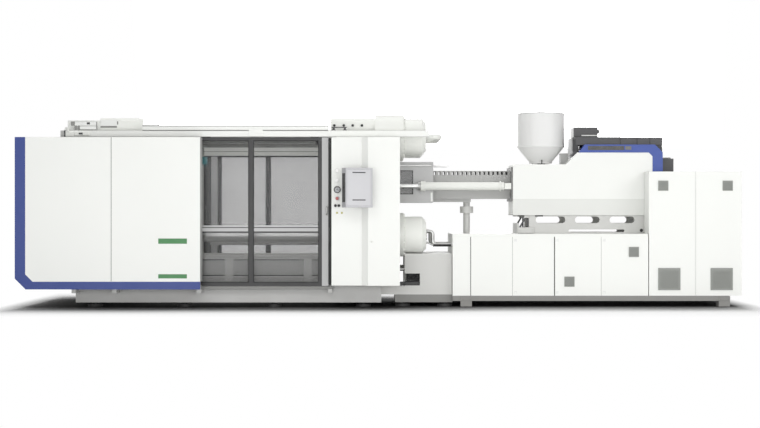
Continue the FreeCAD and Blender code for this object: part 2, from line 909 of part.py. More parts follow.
def guard_panels():
    """Folded sheet panels at the front, the rear and the clamp end."""
    x_seam = x_left + panel_seam
    z_band = guard_bottom + trim_band
    x_in = x_left + trim_width
    corner = side_prism([(x_in, z_band), (x_in + trim_inner_chamfer, z_band),
                         (x_in, z_band + trim_inner_chamfer)],
                        -guard_half, panel_fold - guard_half)
    first = tray(x_in, x_seam - seam_gap / 2, -guard_half, panel_fold, z_band, guard_top, sheet).cut(corner)
    second = tray(x_seam + seam_gap / 2, x_panel_end - sheet, -guard_half, panel_fold,
                  z_band, guard_top, sheet)
    cheek = block(x_panel_end - sheet, x_panel_end, -guard_half, -door_plane - track_width / 2,
                  z_band, guard_top)
    rear_first = tray(x_left, x_seam - seam_gap / 2, -guard_half, panel_fold, guard_bottom, guard_top, sheet)
    rear_second = tray(x_seam + seam_gap / 2, x_panel_end - sheet, -guard_half, panel_fold,
                       guard_bottom, guard_top, sheet)
    rear = [mirrored(shape) for shape in (rear_first, rear_second, cheek)]
    y_in = guard_half - panel_fold
    end = block(x_left, x_left + end_panel_depth, -y_in, y_in, guard_bottom + trim_chamfer, guard_top)
    end = end.cut(block(x_left + sheet, x_left + end_panel_depth, sheet - y_in, y_in - sheet,
                        guard_bottom + trim_chamfer + sheet, guard_top - sheet))
    return [first, second, cheek, end] + rear


def guard_posts():
    """Square posts and rails behind the guard panels, on brackets from the clamp base."""
    y0 = panel_fold - guard_half
    y1 = y0 + post
    x0 = x_left + end_panel_depth
    x_seam = x_left + panel_seam
    x_end = x_panel_end - sheet
    post_starts = (x_seam - post / 2, x_end - post)
    posts = [block(x, x + post, y0, y1, guard_bottom + post, guard_top - post) for x in post_starts]
    posts.append(block(x0, x0 + post, y0, y1, guard_bottom + trim_chamfer, guard_top - post))
    top = block(x0, x_end, y0, y1, guard_top - post, guard_top)
    foot = block(x0 + trim_chamfer, x_end, y0, y1, guard_bottom, guard_bottom + post)
    rail_front = -door_plane - post / 2
    brackets = [guard_bracket(x, y1) for x in (x_clamp_base, x_seam, x_end - post)]
    brackets.append(block(x_column - post, x_column, rail_front, -base_half,
                          guard_bottom - post, z_low_track))
    stop = block(x_track - post, x_track, -door_plane - post / 2, post / 2 - door_plane,
                 z_low_track, z_rail + track_height)
    spacer = block(x_track - post, x_track, y1, -door_plane - post / 2, guard_top - post, guard_top)
    column_bracket = block(x_column + post, x_clamp_base_end - post, -column_back, -base_half,
                           column_bottom + post, base_top - post)
    return posts + [top, foot, stop, spacer, column_bracket] + brackets


def guard_bracket(x, y_front):
    """Arm from the clamp base with a knee behind the guard's foot rail."""
    arm = block(x, x + post, y_front, -base_half, guard_bottom - post, z_low_track)
    knee = block(x, x + post, y_front, y_front + post, z_low_track, guard_bottom + post)
    return fused([arm, knee])


def guard_frame():
    y_in = guard_half - panel_fold - post
    x0 = x_left + end_panel_depth
    ties = [block(x0, x0 + post, -y_in, y_in, z, z + post)
            for z in (guard_top - post, (guard_top + guard_bottom) / 2)]
    return both_sides(guard_posts()) + ties


def door_rail():
    """C-shaped top rail with the door's rollers inside and a flat rail under the door."""
    x1 = x_gap + track_right_overhang
    y0 = -door_plane - track_width / 2
    outer = block(x_track, x1, y0, y0 + track_width, z_rail, z_rail + track_height)
    inner = block(x_track, x1, y0 + track_wall, y0 + track_width - track_wall,
                  z_rail + track_wall, z_rail + track_height - track_wall)
    slot = block(x_track, x_column, -door_plane - track_slot / 2, track_slot / 2 - door_plane,
                 z_rail, z_rail + track_wall)
    low = block(x_track, x_column, -door_plane - door_depth / 2, door_depth / 2 - door_plane,
                z_low_track, z_low_track + bottom_track_height)
    return [outer.cut([inner, slot]), low]


def door_rails():
    column_spacer = block(x_column + post, x_gap - post, -door_plane - track_width / 2,
                          track_width / 2 - door_plane, guard_top, z_rail)
    return both_sides(door_rail() + [column_spacer])


def cable_duct():
    """Closed cable duct on top of the front door rail."""
    z0 = z_rail + track_height
    return [hollow_box(x_left + duct_left, x_door_end, -door_plane - track_width / 2,
                       track_width / 2 - door_plane, z0, z0 + duct_height, duct_wall)]


def door_outline(mullion_right, top_rail):
    """Door corners and window edges as x and z values."""
    x_mullion = x_door_end - mullion_right
    panes = ((x_door + door_stile, x_mullion - door_stile),
             (x_mullion, x_door_end - closing_stile - dark_stile))
    return panes, door_bottom + door_bottom_rail, door_top - top_rail


def door_frame(mullion_right, top_rail):
    """Welded door frame with two windows, hanger plates and rollers at the top."""
    y0 = -door_plane - door_depth / 2
    panes, z0, z1 = door_outline(mullion_right, top_rail)
    frame = block(x_door, x_door_end, y0, y0 + door_depth, door_bottom, door_top)
    frame = frame.cut([block(a, b, y0, y0 + door_depth, z0, z1) for a, b in panes])
    z_roller = z_rail + track_wall + running_gap + roller_radius
    pieces = [frame]
    for x in (x_door + hanger_inset, x_door_end - hanger_inset):
        pieces.append(block(x - hanger_length / 2, x + hanger_length / 2, -door_plane - hanger_thickness / 2,
                            hanger_thickness / 2 - door_plane, door_top, z_roller + roller_radius / 2))
        reach = hanger_thickness / 2 + roller_width
        pieces.append(bar_y(roller_radius, x, -door_plane - reach, reach - door_plane, z_roller))
    return fused(pieces)


def door_handle():
    """Bow handle on the closing stile."""
    x = x_door_end - closing_stile / 4
    y_in = -door_plane - door_depth / 2
    y_out = y_in - handle_reach
    z0 = handle_height - handle_length / 2
    z1 = handle_height + handle_length / 2
    return bent_pipe(handle_radius, [(x, y_in, z0), (x, y_out, z0), (x, y_out, z1), (x, y_in, z1)],
                     2 * handle_radius)


def door_panes(mullion_right, top_rail):
    panes, z0, z1 = door_outline(mullion_right, top_rail)
    return [block(a, b, -door_plane - glass / 2, glass / 2 - door_plane, z0, z1) for a, b in panes]


def door_seals():
    """Rubber strips on the columns that the closing stiles meet."""
    seal = block(x_column - seal_width, x_column, -door_plane - door_depth / 2, door_depth / 2 - door_plane,
                 column_bottom, guard_top)
    return both_sides([seal])


# ---------------------------------------------------------------- control column and rear column
def button_places():
    places = [(offset, z, white_button_radius) for offset, z in white_buttons]
    return places + [(offset, z, yellow_button_radius) for offset, z in yellow_buttons]


def column_outline():
    x_fold = x_column + column_left_part
    return [(x_column, -button_face), (x_fold, -button_face), (x_fold + column_fold, -column_front),
            (x_gap, -column_front), (x_gap, -column_back), (x_column, -column_back)]


def control_column():
    """Sheet column with a set-back button strip, button bezels and the screen's arm."""
    outer = column_outline()
    skin = plan_prism(outer, column_bottom, guard_top)
    hollow = plan_prism(inset(outer, column_wall), column_bottom + column_wall, guard_top - column_wall)
    skin = skin.cut(hollow)
    bezels = []
    holes = []
    for offset, z, radius in button_places():
        x = x_column + offset
        rim = bar_y(radius + running_gap + bezel_wall, x, -button_face - bezel_height, -button_face, z)
        bezels.append(rim)
        holes.append(bar_y(radius + running_gap, x, -button_face - bezel_height, -button_face, z))
        holes.append(bar_y(button_stem_radius + running_gap, x, -button_face, column_wall - button_face, z))
    x_stop = x_column + stop_at[0]
    holes.append(bar_y(button_stem_radius + running_gap, x_stop, -button_face, column_wall - button_face,
                       stop_at[1]))
    for step in (0, 1):
        bezels.append(bar_y(key_switch_radius, x_column + stop_at[0] + (step - 0.5) * key_switch_spacing,
                            -button_face - key_switch_depth, -button_face, key_switch_height))
    x_pivot = x_column + hmi_pivot_x
    y_pivot = -button_face - hmi_pivot_reach
    z_mid = hmi_bottom + hmi_height / 2
    z0 = z_mid - hmi_arm_height / 2
    arm = block(x_pivot - hmi_arm_width / 2, x_pivot + hmi_arm_width / 2, y_pivot, -button_face,
                z0, z0 + hmi_arm_height)
    arm_end = bar_z(hmi_arm_width / 2, x_pivot, y_pivot, z0, z0 + hmi_arm_height)
    pin = bar_z(hmi_pin_radius, x_pivot, y_pivot, z0 - hmi_knuckle_height,
                z0 + hmi_arm_height + hmi_knuckle_height)
    return [fused([skin] + bezels + [arm, arm_end, pin]).cut(holes)]


def rear_column():
    """Plain service column behind the fixed platen, closing the rear guard."""
    skin = hollow_box(x_column, x_gap, -column_front, -column_back, column_bottom, guard_top, column_wall)
    return [mirrored(skin)]


def turned_panel(shape):
    """Places a piece drawn square to its own hinge pin: turned and moved to the arm."""
    placed = shape.copy()
    placed.rotate(Vector(0, 0, 0), Z, hmi_turn)
    placed.translate(Vector(x_column + hmi_pivot_x, -button_face - hmi_pivot_reach, 0))
    return placed


def operator_panel():
    """Screen housing with a shallow recess in its face and two hinge knuckles behind it."""
    x0 = hmi_pivot_offset - hmi_width / 2
    y_back = -hmi_pivot_gap
    y_face = y_back - hmi_depth
    z1 = hmi_bottom + hmi_height
    body = block(x0, x0 + hmi_width, y_face, y_back, hmi_bottom, z1)
    recess = block(x0 + hmi_border, x0 + hmi_width - hmi_border, y_face, y_face + hmi_recess,
                   hmi_bottom + hmi_border, z1 - hmi_border)
    z_mid = hmi_bottom + hmi_height / 2
    pieces = [body.cut(recess)]
    reach = hmi_arm_height / 2 + running_gap
    for z_a, z_b in ((z_mid + reach, z_mid + reach + hmi_knuckle_height / 2),
                     (z_mid - reach - hmi_knuckle_height / 2, z_mid - reach)):
        pieces.append(block(-hmi_knuckle_radius, hmi_knuckle_radius, y_back, 0, z_a, z_b))
        pieces.append(bar_z(hmi_knuckle_radius, 0, 0, z_a, z_b))
    hole = bar_z(hmi_pin_radius + running_gap, 0, 0, hmi_bottom, z1)
    return [turned_panel(fused(pieces).cut(hole))]


def push_button(offset, z, radius):
    """Flat cap inside its bezel with a stem through the sheet."""
    x = x_column + offset
    y_back = -button_face - button_travel - running_gap
    cap = bar_y(radius, x, y_back - bezel_height, y_back, z)
    stem = bar_y(button_stem_radius, x, y_back, column_wall * 3 - button_face, z)
    return fused([cap, stem])


def emergency_stop():
    """Mushroom head on a stem."""
    x = x_column + stop_at[0]
    y_head = -button_face - stop_stand_off
    stem = bar_y(button_stem_radius, x, y_head, column_wall * 3 - button_face, stop_at[1])
    head = bar_y(stop_radius, x, y_head - stop_cap, y_head, stop_at[1])
    rim = [edge for edge in head.Edges if edge.BoundBox.YMax < y_head - stop_cap / 2 and edge.Closed]
    return [fused([head.makeFillet(stop_cap / 3, rim), stem])]


def pressure_gauge():
    """Round gauge case with a dial and a centre pin for the needle."""
    x = x_column + gauge_at[0]
    z = gauge_at[1]
    y_front = -button_face - gauge_depth
    case = bar_y(gauge_radius, x, y_front, -button_face, z)
    dial = bar_y(gauge_radius - gauge_wall, x, y_front, y_front + 3 * gauge_wall, z)
    pin = bar_y(gauge_wall / 2, x, y_front + gauge_wall, y_front + 3 * gauge_wall, z)
    return [case.cut(dial).fuse(pin)]


def gauge_needle():
    """Needle with a hub that turns on the gauge's centre pin."""
    x = x_column + gauge_at[0]
    z = gauge_at[1]
    y_front = -button_face - gauge_depth + gauge_wall
    hub = bar_y(gauge_wall * 1.5, x, y_front, y_front + gauge_wall / 2, z)
    hand = block(x - gauge_wall / 4, x + gauge_wall / 4, y_front, y_front + gauge_wall / 2,
                 z, z + gauge_radius - 3 * gauge_wall)
    hole = bar_y(gauge_wall / 2 + running_gap / 3, x, y_front, y_front + gauge_wall, z)
    return [fused([hub, hand]).cut(hole)]


# ---------------------------------------------------------------- centre tank and skids
def centre_tank():
    """Closed sheet tank between the clamp and the injection base, notched at its foot.

    A low sill at its left end reaches the clamp base.
    """
    half = tank_width / 2
    x0 = x_gap + tank_inset
    sill_top = tank_bottom + sill_height
    sill = block(x_clamp_base_end, x0 + tank_wall, -half, half, tank_bottom, sill_top)
    sill_inner = block(x_clamp_base_end + tank_wall, x0 + tank_wall, tank_wall - half, half - tank_wall,
                       tank_bottom + tank_wall, sill_top - tank_wall)
    tank = block(x0, x_base - tank_right_gap, -half, half, tank_bottom, tank_top)
    notch = block(x0, x0 + tank_recess_width, -half, tank_recess_depth - half,
                  tank_recess_bottom, tank_recess_top)
    wall = tank_wall
    inner = block(x0 + wall, x_base - tank_right_gap - wall, wall - half, half - wall,
                  tank_bottom + wall, tank_top - wall)
    lining = block(x0, x0 + tank_recess_width + wall, -half, tank_recess_depth + wall - half,
                   tank_recess_bottom - wall, tank_recess_top + wall)
    shell = tank.cut(inner.cut(lining)).cut(notch)
    return [fused([shell, sill]).cut(sill_inner)]


def skid(x0, x1, half, z0, z1):
    """Two long beams with a cross member at each end."""
    beams = both_sides([block(x0, x1, -half, skid_beam - half, z0, z1)])
    inner = half - skid_beam
    return beams + [block(x0, x0 + skid_beam, -inner, inner, z0, z1),
                    block(x1 - skid_beam, x1, -inner, inner, z0, z1)]


def tank_skid():
    return skid(x_gap - tank_skid_left, x_base, tank_width / 2, tank_skid_bottom, tank_bottom)


def injection_skid():
    return skid(x_base, x_right - skid_right_gap, base_cabinet_width / 2, skid_bottom, skid_top)


def transfer_pipes():
    """Oil pipes from the clamp to the tank, to the injection base and between the top caps."""
    y = -tie_y
    low_cap = axis_height - tie_z
    high_cap = axis_height + tie_z
    tank_pipe = bar_x(pipe_radius, x_clamp_base_end, x_gap + tank_inset, y, pipe_height)
    z_base = base_cabinet_top - 4 * pipe_radius - cap_chamfer
    x_turn = x_cap + 4 * pipe_radius
    z_start = low_cap + 2 * pipe_radius
    base_pipe = bent_pipe(pipe_radius, [(x_cap, y, z_start), (x_turn, y, z_start),
                                        (x_turn, y, z_base), (x_base, y, z_base)], 2 * pipe_radius)
    x_cross = x_cap + 8 * pipe_radius
    route = [(x_cap, y, high_cap), (x_cross, y, high_cap), (x_cross, -y, high_cap), (x_cap, -y, high_cap)]
    cross_pipe = bent_pipe(1.6 * pipe_radius, route, 4 * pipe_radius)
    return both_sides([tank_pipe, base_pipe]) + [cross_pipe]


# ---------------------------------------------------------------- injection base and cabinets
def base_door_spans():
    """Left and right edges of the four lower doors."""
    edges = [x_base + seam for seam in door_seams] + [x_electric - electric_gap]
    half_gap = cabinet_door_gap / 2
    return [(a + half_gap, b - half_gap) for a, b in zip(edges, edges[1:])]


def injection_base():
    """Sheet base with four front openings, L-shaped in plan behind the electric cabinet."""
    half = base_cabinet_width / 2
    y0 = cabinet_door_depth - half
    y_step = electric_depth - half + electric_gap
    x1 = x_electric - electric_gap
    plan = [(x_base, y0), (x1, y0), (x1, y_step), (x_right - electric_gap, y_step),
            (x_right - electric_gap, half), (x_base, half)]
    skin = plan_prism(plan, skid_top, base_cabinet_top)
    hollow = plan_prism(inset(plan, cabinet_wall), skid_top + cabinet_wall, base_cabinet_top - cabinet_wall)
    skin = skin.cut(hollow)
    openings = []
    for a, b in base_door_spans():
        openings.append(block(a + cabinet_lip, b - cabinet_lip, y0, y0 + cabinet_wall,
                              skid_top + cabinet_lip, base_cabinet_top - door_margin - cabinet_lip))
    filler = tray(x_base, x_base + door_seams[0] - cabinet_door_gap / 2, -half, cabinet_door_depth,
                  skid_top, base_cabinet_top - door_margin, cabinet_door_sheet)
    return [skin.cut(openings), filler]


def electric_cabinet():
    """Sheet cabinet, open at the front behind its two doors, on a plinth."""
    half = base_cabinet_width / 2
    y0 = cabinet_door_depth - half
    skin = hollow_box(x_electric, x_right, y0, electric_depth - half, skid_top, electric_top, cabinet_wall)
    opening = block(x_electric + cabinet_lip, x_right - cabinet_lip, y0, y0 + cabinet_wall,
                    skid_top + cabinet_lip, electric_top - cabinet_lip)
    return [skin.cut(opening)]


def door_lock(x, y_face, z):
    return bar_y(lock_radius, x, y_face - lock_proud, y_face, z)


def vent(x0, z0, size, y_face, slats):
    """Square filter vent: a raised frame with slanted slats cut as slots."""
    frame = block(x0, x0 + size, y_face - vent_proud, y_face, z0, z0 + size)
    border = size / 10
    pitch = (size - 2 * border) / slats
    slots = [block(x0 + border, x0 + size - border, y_face - vent_proud, y_face - vent_proud / 3,
                   z0 + border + step * pitch, z0 + border + step * pitch + pitch / 2)
             for step in range(slats)]
    return frame.cut(slots)


def base_door(index):
    """Folded door of the injection base, with its lock or vent where it has one."""
    x0, x1 = base_door_spans()[index]
    y_face = -base_cabinet_width / 2
    z1 = base_cabinet_top - door_margin
    pieces = [tray(x0, x1, y_face, cabinet_door_depth, skid_top, z1, cabinet_door_sheet)]
    if index in (1, 3):
        lock_heights = (z1 - 2 * cabinet_lip, skid_top + cabinet_lip)
        pieces += [door_lock(x0 + cabinet_lip, y_face, z) for z in lock_heights]
    if index == 2:
        pieces.append(vent(x0 + vent_size, skid_top + vent_size * 0.9, vent_size, y_face, vent_slats))
    if index == 3:
        x_vent = x1 - 2 * vent_size + cabinet_lip / 4
        pieces.append(vent(x_vent, z1 - 2 * vent_size, vent_size, y_face, vent_slats))
    return [fused(pieces)]


def electric_door(side):
    """Tall folded door with a small vent at the top and a large one at the foot."""
    x_seam = x_electric + electric_seam
    half_gap = cabinet_door_gap / 2
    x0, x1 = (x_electric, x_seam - half_gap) if side < 0 else (x_seam + half_gap, x_right)
    y_face = -base_cabinet_width / 2
    pieces = [tray(x0, x1, y_face, cabinet_door_depth, skid_top, electric_top, cabinet_door_sheet)]
    x_small = x0 + door_vent_margin if side < 0 else x1 - door_vent_margin - vent_size
    x_large = x0 + door_vent_margin if side < 0 else x1 - door_vent_margin - vent_large
    pieces.append(vent(x_small, electric_top - door_vent_margin - vent_size, vent_size, y_face, vent_slats))
    pieces.append(vent(x_large, skid_top + small_vent_foot, vent_large, y_face, 2 * vent_slats))
    if side > 0:
        pieces += [door_lock(x0 + cabinet_lip, y_face, z)
                   for z in (electric_top - 1.5 * cabinet_lip, skid_top + 1.5 * cabinet_lip)]
    return [fused(pieces)]


def hydraulic_unit():
    """Oil tank, electric motor and pump on the floor of the injection base."""
    z0 = skid_top + cabinet_wall
    x0 = x_base + unit_left
    x1 = x0 + oil_tank_length
    half = oil_tank_width / 2
    tank = block(x0, x1, -half, half, z0, z0 + oil_tank_height)
    z_shaft = z0 + 1.3 * motor_radius
    pump = bar_x(pump_radius, x1, x1 + pump_length, 0, z_shaft)
    motor = bar_x(motor_radius, x1 + pump_length, x1 + pump_length + motor_length, 0, z_shaft)
    foot = block(x1 + pump_length, x1 + pump_length + motor_length, -motor_radius, motor_radius,
                 z0, z0 + motor_radius / 2).cut(motor)
    return [tank, pump, motor, foot]


def drive_rack():
    """Mounting plate with a row of drive modules inside the electric cabinet."""
    y_back = electric_depth - base_cabinet_width / 2 - cabinet_wall
    z_mid = (skid_top + electric_top) / 2
    x_mid = (x_electric + x_right) / 2
    pitch = (electric_length - 2 * cabinet_lip) / drive_count
    plate = block(x_electric + cabinet_lip, x_right - cabinet_lip, y_back - drive_plate, y_back,
                  skid_top + 2 * cabinet_lip, electric_top - 2 * cabinet_lip)
    modules = []
    for row in (0, 1):
        z0 = z_mid + (row - 1) * (drive_height + cabinet_lip)
        for step in range(drive_count):
            x = x_mid + (step - (drive_count - 1) / 2) * pitch
            modules.append(block(x - drive_width / 2, x + drive_width / 2, y_back - drive_plate - drive_depth,
                                 y_back - drive_plate, z0, z0 + drive_height))
    return [plate] + modules


# ---------------------------------------------------------------- injection bed
def bed_window(x0, x1, z0, height):
    """Long hole with round ends through a side plate."""
    half = bed_width / 2
    radius = height / 2
    z = z0 + radius
    ends = [bar_y(radius, x, -half, bed_plate - half, z) for x in (x0 + radius, x1 - radius)]
    return fused([block(x0 + radius, x1 - radius, -half, bed_plate - half, z0, z0 + height)] + ends)


def injection_bed():
    """Two slotted side plates on a floor plate, with slide rails on top."""
    half = bed_width / 2
    x1 = x_bed + bed_length
    floor = block(x_bed, x1, bed_plate - half, half - bed_plate,
                  base_cabinet_top, base_cabinet_top + bed_floor)
    side = block(x_bed, x1, -half, bed_plate - half, base_cabinet_top, bed_top)
    windows = []
    for start, length in bed_slots:
        x0 = x_bed + start
        windows.append(bed_window(x0, x0 + length, bed_slot_bottom, bed_slot_height))
    windows.append(block(x_bed, x_bed + bed_notch_length, -half, bed_plate - half,
                         base_cabinet_top + bed_notch_bottom, bed_top - bed_notch_drop))
    x_low = x_bed + low_slot_start
    windows.append(bed_window(x_low, x_low + low_slot_length, low_slot_bottom, low_slot_height))
    rail = block(x_bed, x1, -half, bed_plate - half, bed_top, bed_top + bed_rail_height)
    ends = [block(x, x + bed_plate, bed_plate - half, half - bed_plate, base_cabinet_top + bed_floor,
                  bed_slot_bottom) for x in (x_bed, x1 - bed_plate)]
    return both_sides([side.cut(windows), rail]) + [floor] + ends


def barrel_support():
    """Post on the base that the shroud's tray slides over."""
    x = x_base + post_offset
    top = shroud_bottom - tray_height - running_gap
    return [fused([bar_z(post_radius, x, 0, base_cabinet_top, top),
                   bar_z(post_collar_radius, x, 0, post_collar_bottom,
                         post_collar_bottom + post_collar_height)])]


# ---------------------------------------------------------------- injection carriage
def injection_housing():
    """Carriage base plate, throat block with its front flange, and the injection cylinder."""
    half = bed_width / 2
    x1 = x_cover_end - lock_wall
    plate = block(x_cover + lock_wall, x1, -half, half, z_carriage, z_platform)
    throat = block(x_throat, x_throat + throat_length, -throat_width / 2, throat_width / 2,
                   z_platform, throat_top)
    neck = block(x_cover, x_throat, -neck_size / 2, neck_size / 2,
                 axis_height - neck_size / 2, axis_height + neck_size / 2)
    y_flange = jack_y + clevis_eye_width / 2 + clevis_ear_width
    flange = block(x_flange, x_cover, -y_flange, y_flange,
                   axis_height - flange_drop, axis_height + flange_rise)
    front = fused([throat, neck, flange])
    bore = bar_x(barrel_radius + running_gap, x_flange, x_barrel, 0, axis_height)
    feed = bar_z(feed_radius, x_hopper, 0, axis_height, throat_top)
    cylinder = bar_x(ram_cylinder_radius, x_ram, x_ram_end, 0, axis_height)
    saddle = block(x_ram + ram_cylinder_wall, x_ram_end - ram_cylinder_wall,
                   -throat_width / 3, throat_width / 3,
                   z_platform, axis_height)
    cavity = bar_x(ram_piston_radius + running_gap, x_ram + ram_cylinder_wall, x_ram_end - ram_cylinder_wall,
                   0, axis_height)
    gland = bar_x(ram_radius + running_gap, x_ram, x_ram + ram_cylinder_wall, 0, axis_height)
    ram_cylinder = fused([cylinder, saddle]).cut([cavity, gland])
    return [plate, front.cut([bore, feed]), ram_cylinder] + both_sides(clevis())


def clevis():
    """Two ears on the front flange and the pin through them."""
    x0 = x_flange - 0.9 * clevis_length
    x_pin = x_flange - clevis_length / 2
    near = clevis_eye_width / 2 + running_gap
    far = clevis_eye_width / 2 + clevis_ear_width
    ears = [block(x0, x_flange, -jack_y + a, -jack_y + b, axis_height - clevis_height / 2,
                  axis_height + clevis_height / 2) for a, b in ((-far, -near), (near, far))]
    pin = bar_y(clevis_pin_radius, x_pin, -jack_y - far, far - jack_y, axis_height)
    return [fused(ears + [pin])]


def barrel():
    """Plasticising barrel with heater bands, feed port and nozzle."""
    tube = bar_x(barrel_radius, x_barrel_front, x_barrel, 0, axis_height)
    x_tip = x_barrel_front - nozzle_length
    x_cone = x_tip + nozzle_tip_length
    tip = bar_x(nozzle_tip_radius, x_tip, x_cone, 0, axis_height)
    adaptor = taper_x(nozzle_tip_radius, barrel_radius, x_cone, x_barrel_front, 0, axis_height)
    bands = []
    for step in range(band_count):
        x = x_barrel_front + band_start + step * band_pitch
        bands.append(bar_x(band_radius, x, x + band_length, 0, axis_height))
    bore = bar_x(screw_radius + screw_clearance, x_barrel_front, x_barrel, 0, axis_height)
    nozzle = bar_x(nozzle_bore, x_tip, x_barrel_front, 0, axis_height)
    feed = bar_z(feed_radius, x_hopper, 0, axis_height, axis_height + barrel_radius)
    return [fused([tube, tip, adaptor] + bands).cut([bore, nozzle, feed])]


def screw():
    """Feed screw: core, helical flight and shank, its tip just behind the nozzle."""
    x0 = x_barrel_front + band_start / 3
    length = x_barrel - x0 - feed_radius / 2
    core = bar_x(screw_core, x0, x0 + length, 0, axis_height)
    point = taper_x(nozzle_bore, screw_core, x0 - nozzle_tip_radius, x0, 0, axis_height)
    head = bar_x(screw_radius, x0 + length, x_barrel + shank_length / 4, 0, axis_height)
    shank = bar_x(shank_radius, x_barrel + shank_length / 4, x_barrel + shank_length, 0, axis_height)
    helix = Part.makeHelix(screw_pitch, length - screw_pitch / 2, screw_core)
    low = screw_core - screw_flight / 4
    corners = [Vector(low, 0, -screw_flight / 2), Vector(screw_radius, 0, -screw_flight / 2),
               Vector(screw_radius, 0, screw_flight / 2), Vector(low, 0, screw_flight / 2)]
    profile = Part.makePolygon(corners + corners[:1])
    flight = Part.Wire(helix.Edges).makePipeShell([profile], True, True)
    flight.rotate(Vector(0, 0, 0), Y, 90)
    flight.translate(Vector(x0 + screw_flight, 0, axis_height))
    return [fused([core, point, head, shank, flight])]


def injection_piston():
    """Injection ram: piston in the cylinder and its rod against the screw's shank."""
    rod = bar_x(ram_radius, x_barrel + shank_length, x_piston, 0, axis_height)
    piston = bar_x(ram_piston_radius, x_piston, x_piston + ram_piston_length, 0, axis_height)
    return [fused([rod, piston])]


def barrel_shroud():
    """Sheet shroud over the barrel with a row of slots across its top."""
    x0 = x_flange - shroud_length
    half = shroud_width / 2
    outer = block(x0, x_flange, -half, half, shroud_bottom, shroud_top)
    inner = block(x0 + sheet, x_flange, sheet - half, half - sheet, shroud_bottom + sheet, shroud_top - sheet)
    mouth = bar_x(band_radius + ram_piston_margin, x0, x0 + sheet, 0, axis_height)
    slots = []
    for step in range(shroud_slots):
        x = x0 + shroud_slot_width / 2 + step * shroud_slot_pitch
        slots.append(block(x, x + shroud_slot_width, -half, half, shroud_top - shroud_slot_depth,
                           shroud_top - sheet * 3))
    return [outer.cut([inner, mouth] + slots)]


def shroud_tray():
    """Drip tray under the front of the shroud."""
    x0 = x_flange - shroud_length
    half = tray_width / 2
    outer = block(x0, x0 + tray_length, -half, half, shroud_bottom - tray_height, shroud_bottom)
    return [outer.cut(block(x0 + sheet, x0 + tray_length - sheet, sheet - half, half - sheet,
                            shroud_bottom - tray_height + sheet, shroud_bottom))]


def cover_profile():
    """Side outline of the carriage cover: low front, ramp, high back and a cut corner."""
    x_step = x_cover + cover_low_length
    return [(x_cover, bed_top), (x_cover_end, bed_top), (x_cover_end, cover_top - cover_chamfer),
            (x_cover_end - cover_chamfer, cover_top), (x_step + cover_ramp, cover_top),
            (x_step, cover_low_top), (x_cover, cover_low_top)]


def ramp_height(x):
    """Height of the cover's ramp at x."""
    x_step = x_cover + cover_low_length
    return cover_low_top + (x - x_step) * (cover_top - cover_low_top) / cover_ramp


def carriage_cover():
    """Sheet cover over the carriage, open underneath."""
    profile = cover_profile()
    inner = inset(profile, cover_wall)
    skin = side_prism(profile, -cover_half, cover_half)
    skin = skin.cut(side_prism(inner, cover_wall - cover_half, cover_half - cover_wall))
    half_hopper = hopper_base_size / 2 + running_gap
    top_hole = block(x_hopper - half_hopper, x_hopper + half_hopper, -half_hopper, half_hopper,
                     cover_low_top - cover_wall, cover_low_top)
    half_neck = neck_size / 2 + running_gap
    front_hole = block(x_cover, x_cover + cover_wall, -half_neck, half_neck,
                       axis_height - half_neck, axis_height + half_neck)
    reach = cover_half - cover_wall
    rail_way = block(x_cover, x_cover_end, -reach, reach, bed_top, z_carriage)
    return [skin.cut([top_hole, front_hole, rail_way])]


def carriage_jacks():
    """Cylinders that pull the carriage along its rods."""
    tube = bar_x(jack_radius, x_jack, x_jack_end, -jack_y, axis_height)
    collar = bar_x(jack_collar_radius, x_jack - jack_collar_length, x_jack, -jack_y, axis_height)
    eye = block(x_jack_end, x_flange - 0.1 * clevis_length, -jack_y - clevis_eye_width / 2,
                 clevis_eye_width / 2 - jack_y,
                axis_height - clevis_height / 2, axis_height + clevis_height / 2)
    bore = bar_x(jack_bore + running_gap, x_jack + jack_wall, x_jack_end - jack_wall, -jack_y, axis_height)
    gland = bar_x(jack_rod_radius + running_gap, x_jack - jack_collar_length, x_jack + jack_wall,
                  -jack_y, axis_height)
    pin_hole = bar_y(clevis_pin_radius + running_gap, x_flange - clevis_length / 2,
                     -jack_y - clevis_eye_width / 2, clevis_eye_width / 2 - jack_y, axis_height)
    return both_sides([fused([tube, collar, eye]).cut([bore, gland, pin_hole])])


def guide_rods():
    """Piston rods of the carriage cylinders and slim rods for the purge guard, on the platen."""
    x_piston_a = x_jack + jack_piston_at
    rod = bar_x(jack_rod_radius, x_fixed_back, x_piston_a, -jack_y, axis_height)
    piston = bar_x(jack_bore, x_piston_a, x_piston_a + jack_piston_length, -jack_y, axis_height)
    slim = bar_x(purge_rod_radius, x_fixed_back, x_purge_rod_end,
                 -purge_width / 2 - purge_lug / 2, purge_rod_z)
    return both_sides([fused([rod, piston]), slim])


def purge_guard():
    """Sheet guard round the nozzle, open below and at the right, with a window each side."""
    half = purge_width / 2
    x1 = x_purge_end
    outer = block(x_fixed_back, x1, -half, half, purge_bottom, purge_top)
    inner = block(x_fixed_back, x1, purge_wall - half, half - purge_wall,
                  purge_bottom, purge_top - purge_wall)
    x_window = x1 - purge_window_inset
    window = block(x_window - purge_window_length, x_window, -half, half,
                   purge_window_bottom, purge_window_top)
    pieces = [outer.cut([inner, window])]
    holes = []
    for sy in (-1, 1):
        near, far = sorted((sy * half, sy * (half + purge_lug)))
        for x in (x_fixed_back + purge_lug, x1 - purge_lug):
            z0 = purge_rod_z - purge_lug / 2
            pieces.append(block(x, x + purge_lug, near, far, z0, z0 + purge_lug))
        holes.append(bar_x(purge_rod_radius + running_gap, x_fixed_back, x1, (near + far) / 2, purge_rod_z))
    return [fused(pieces).cut(holes)]


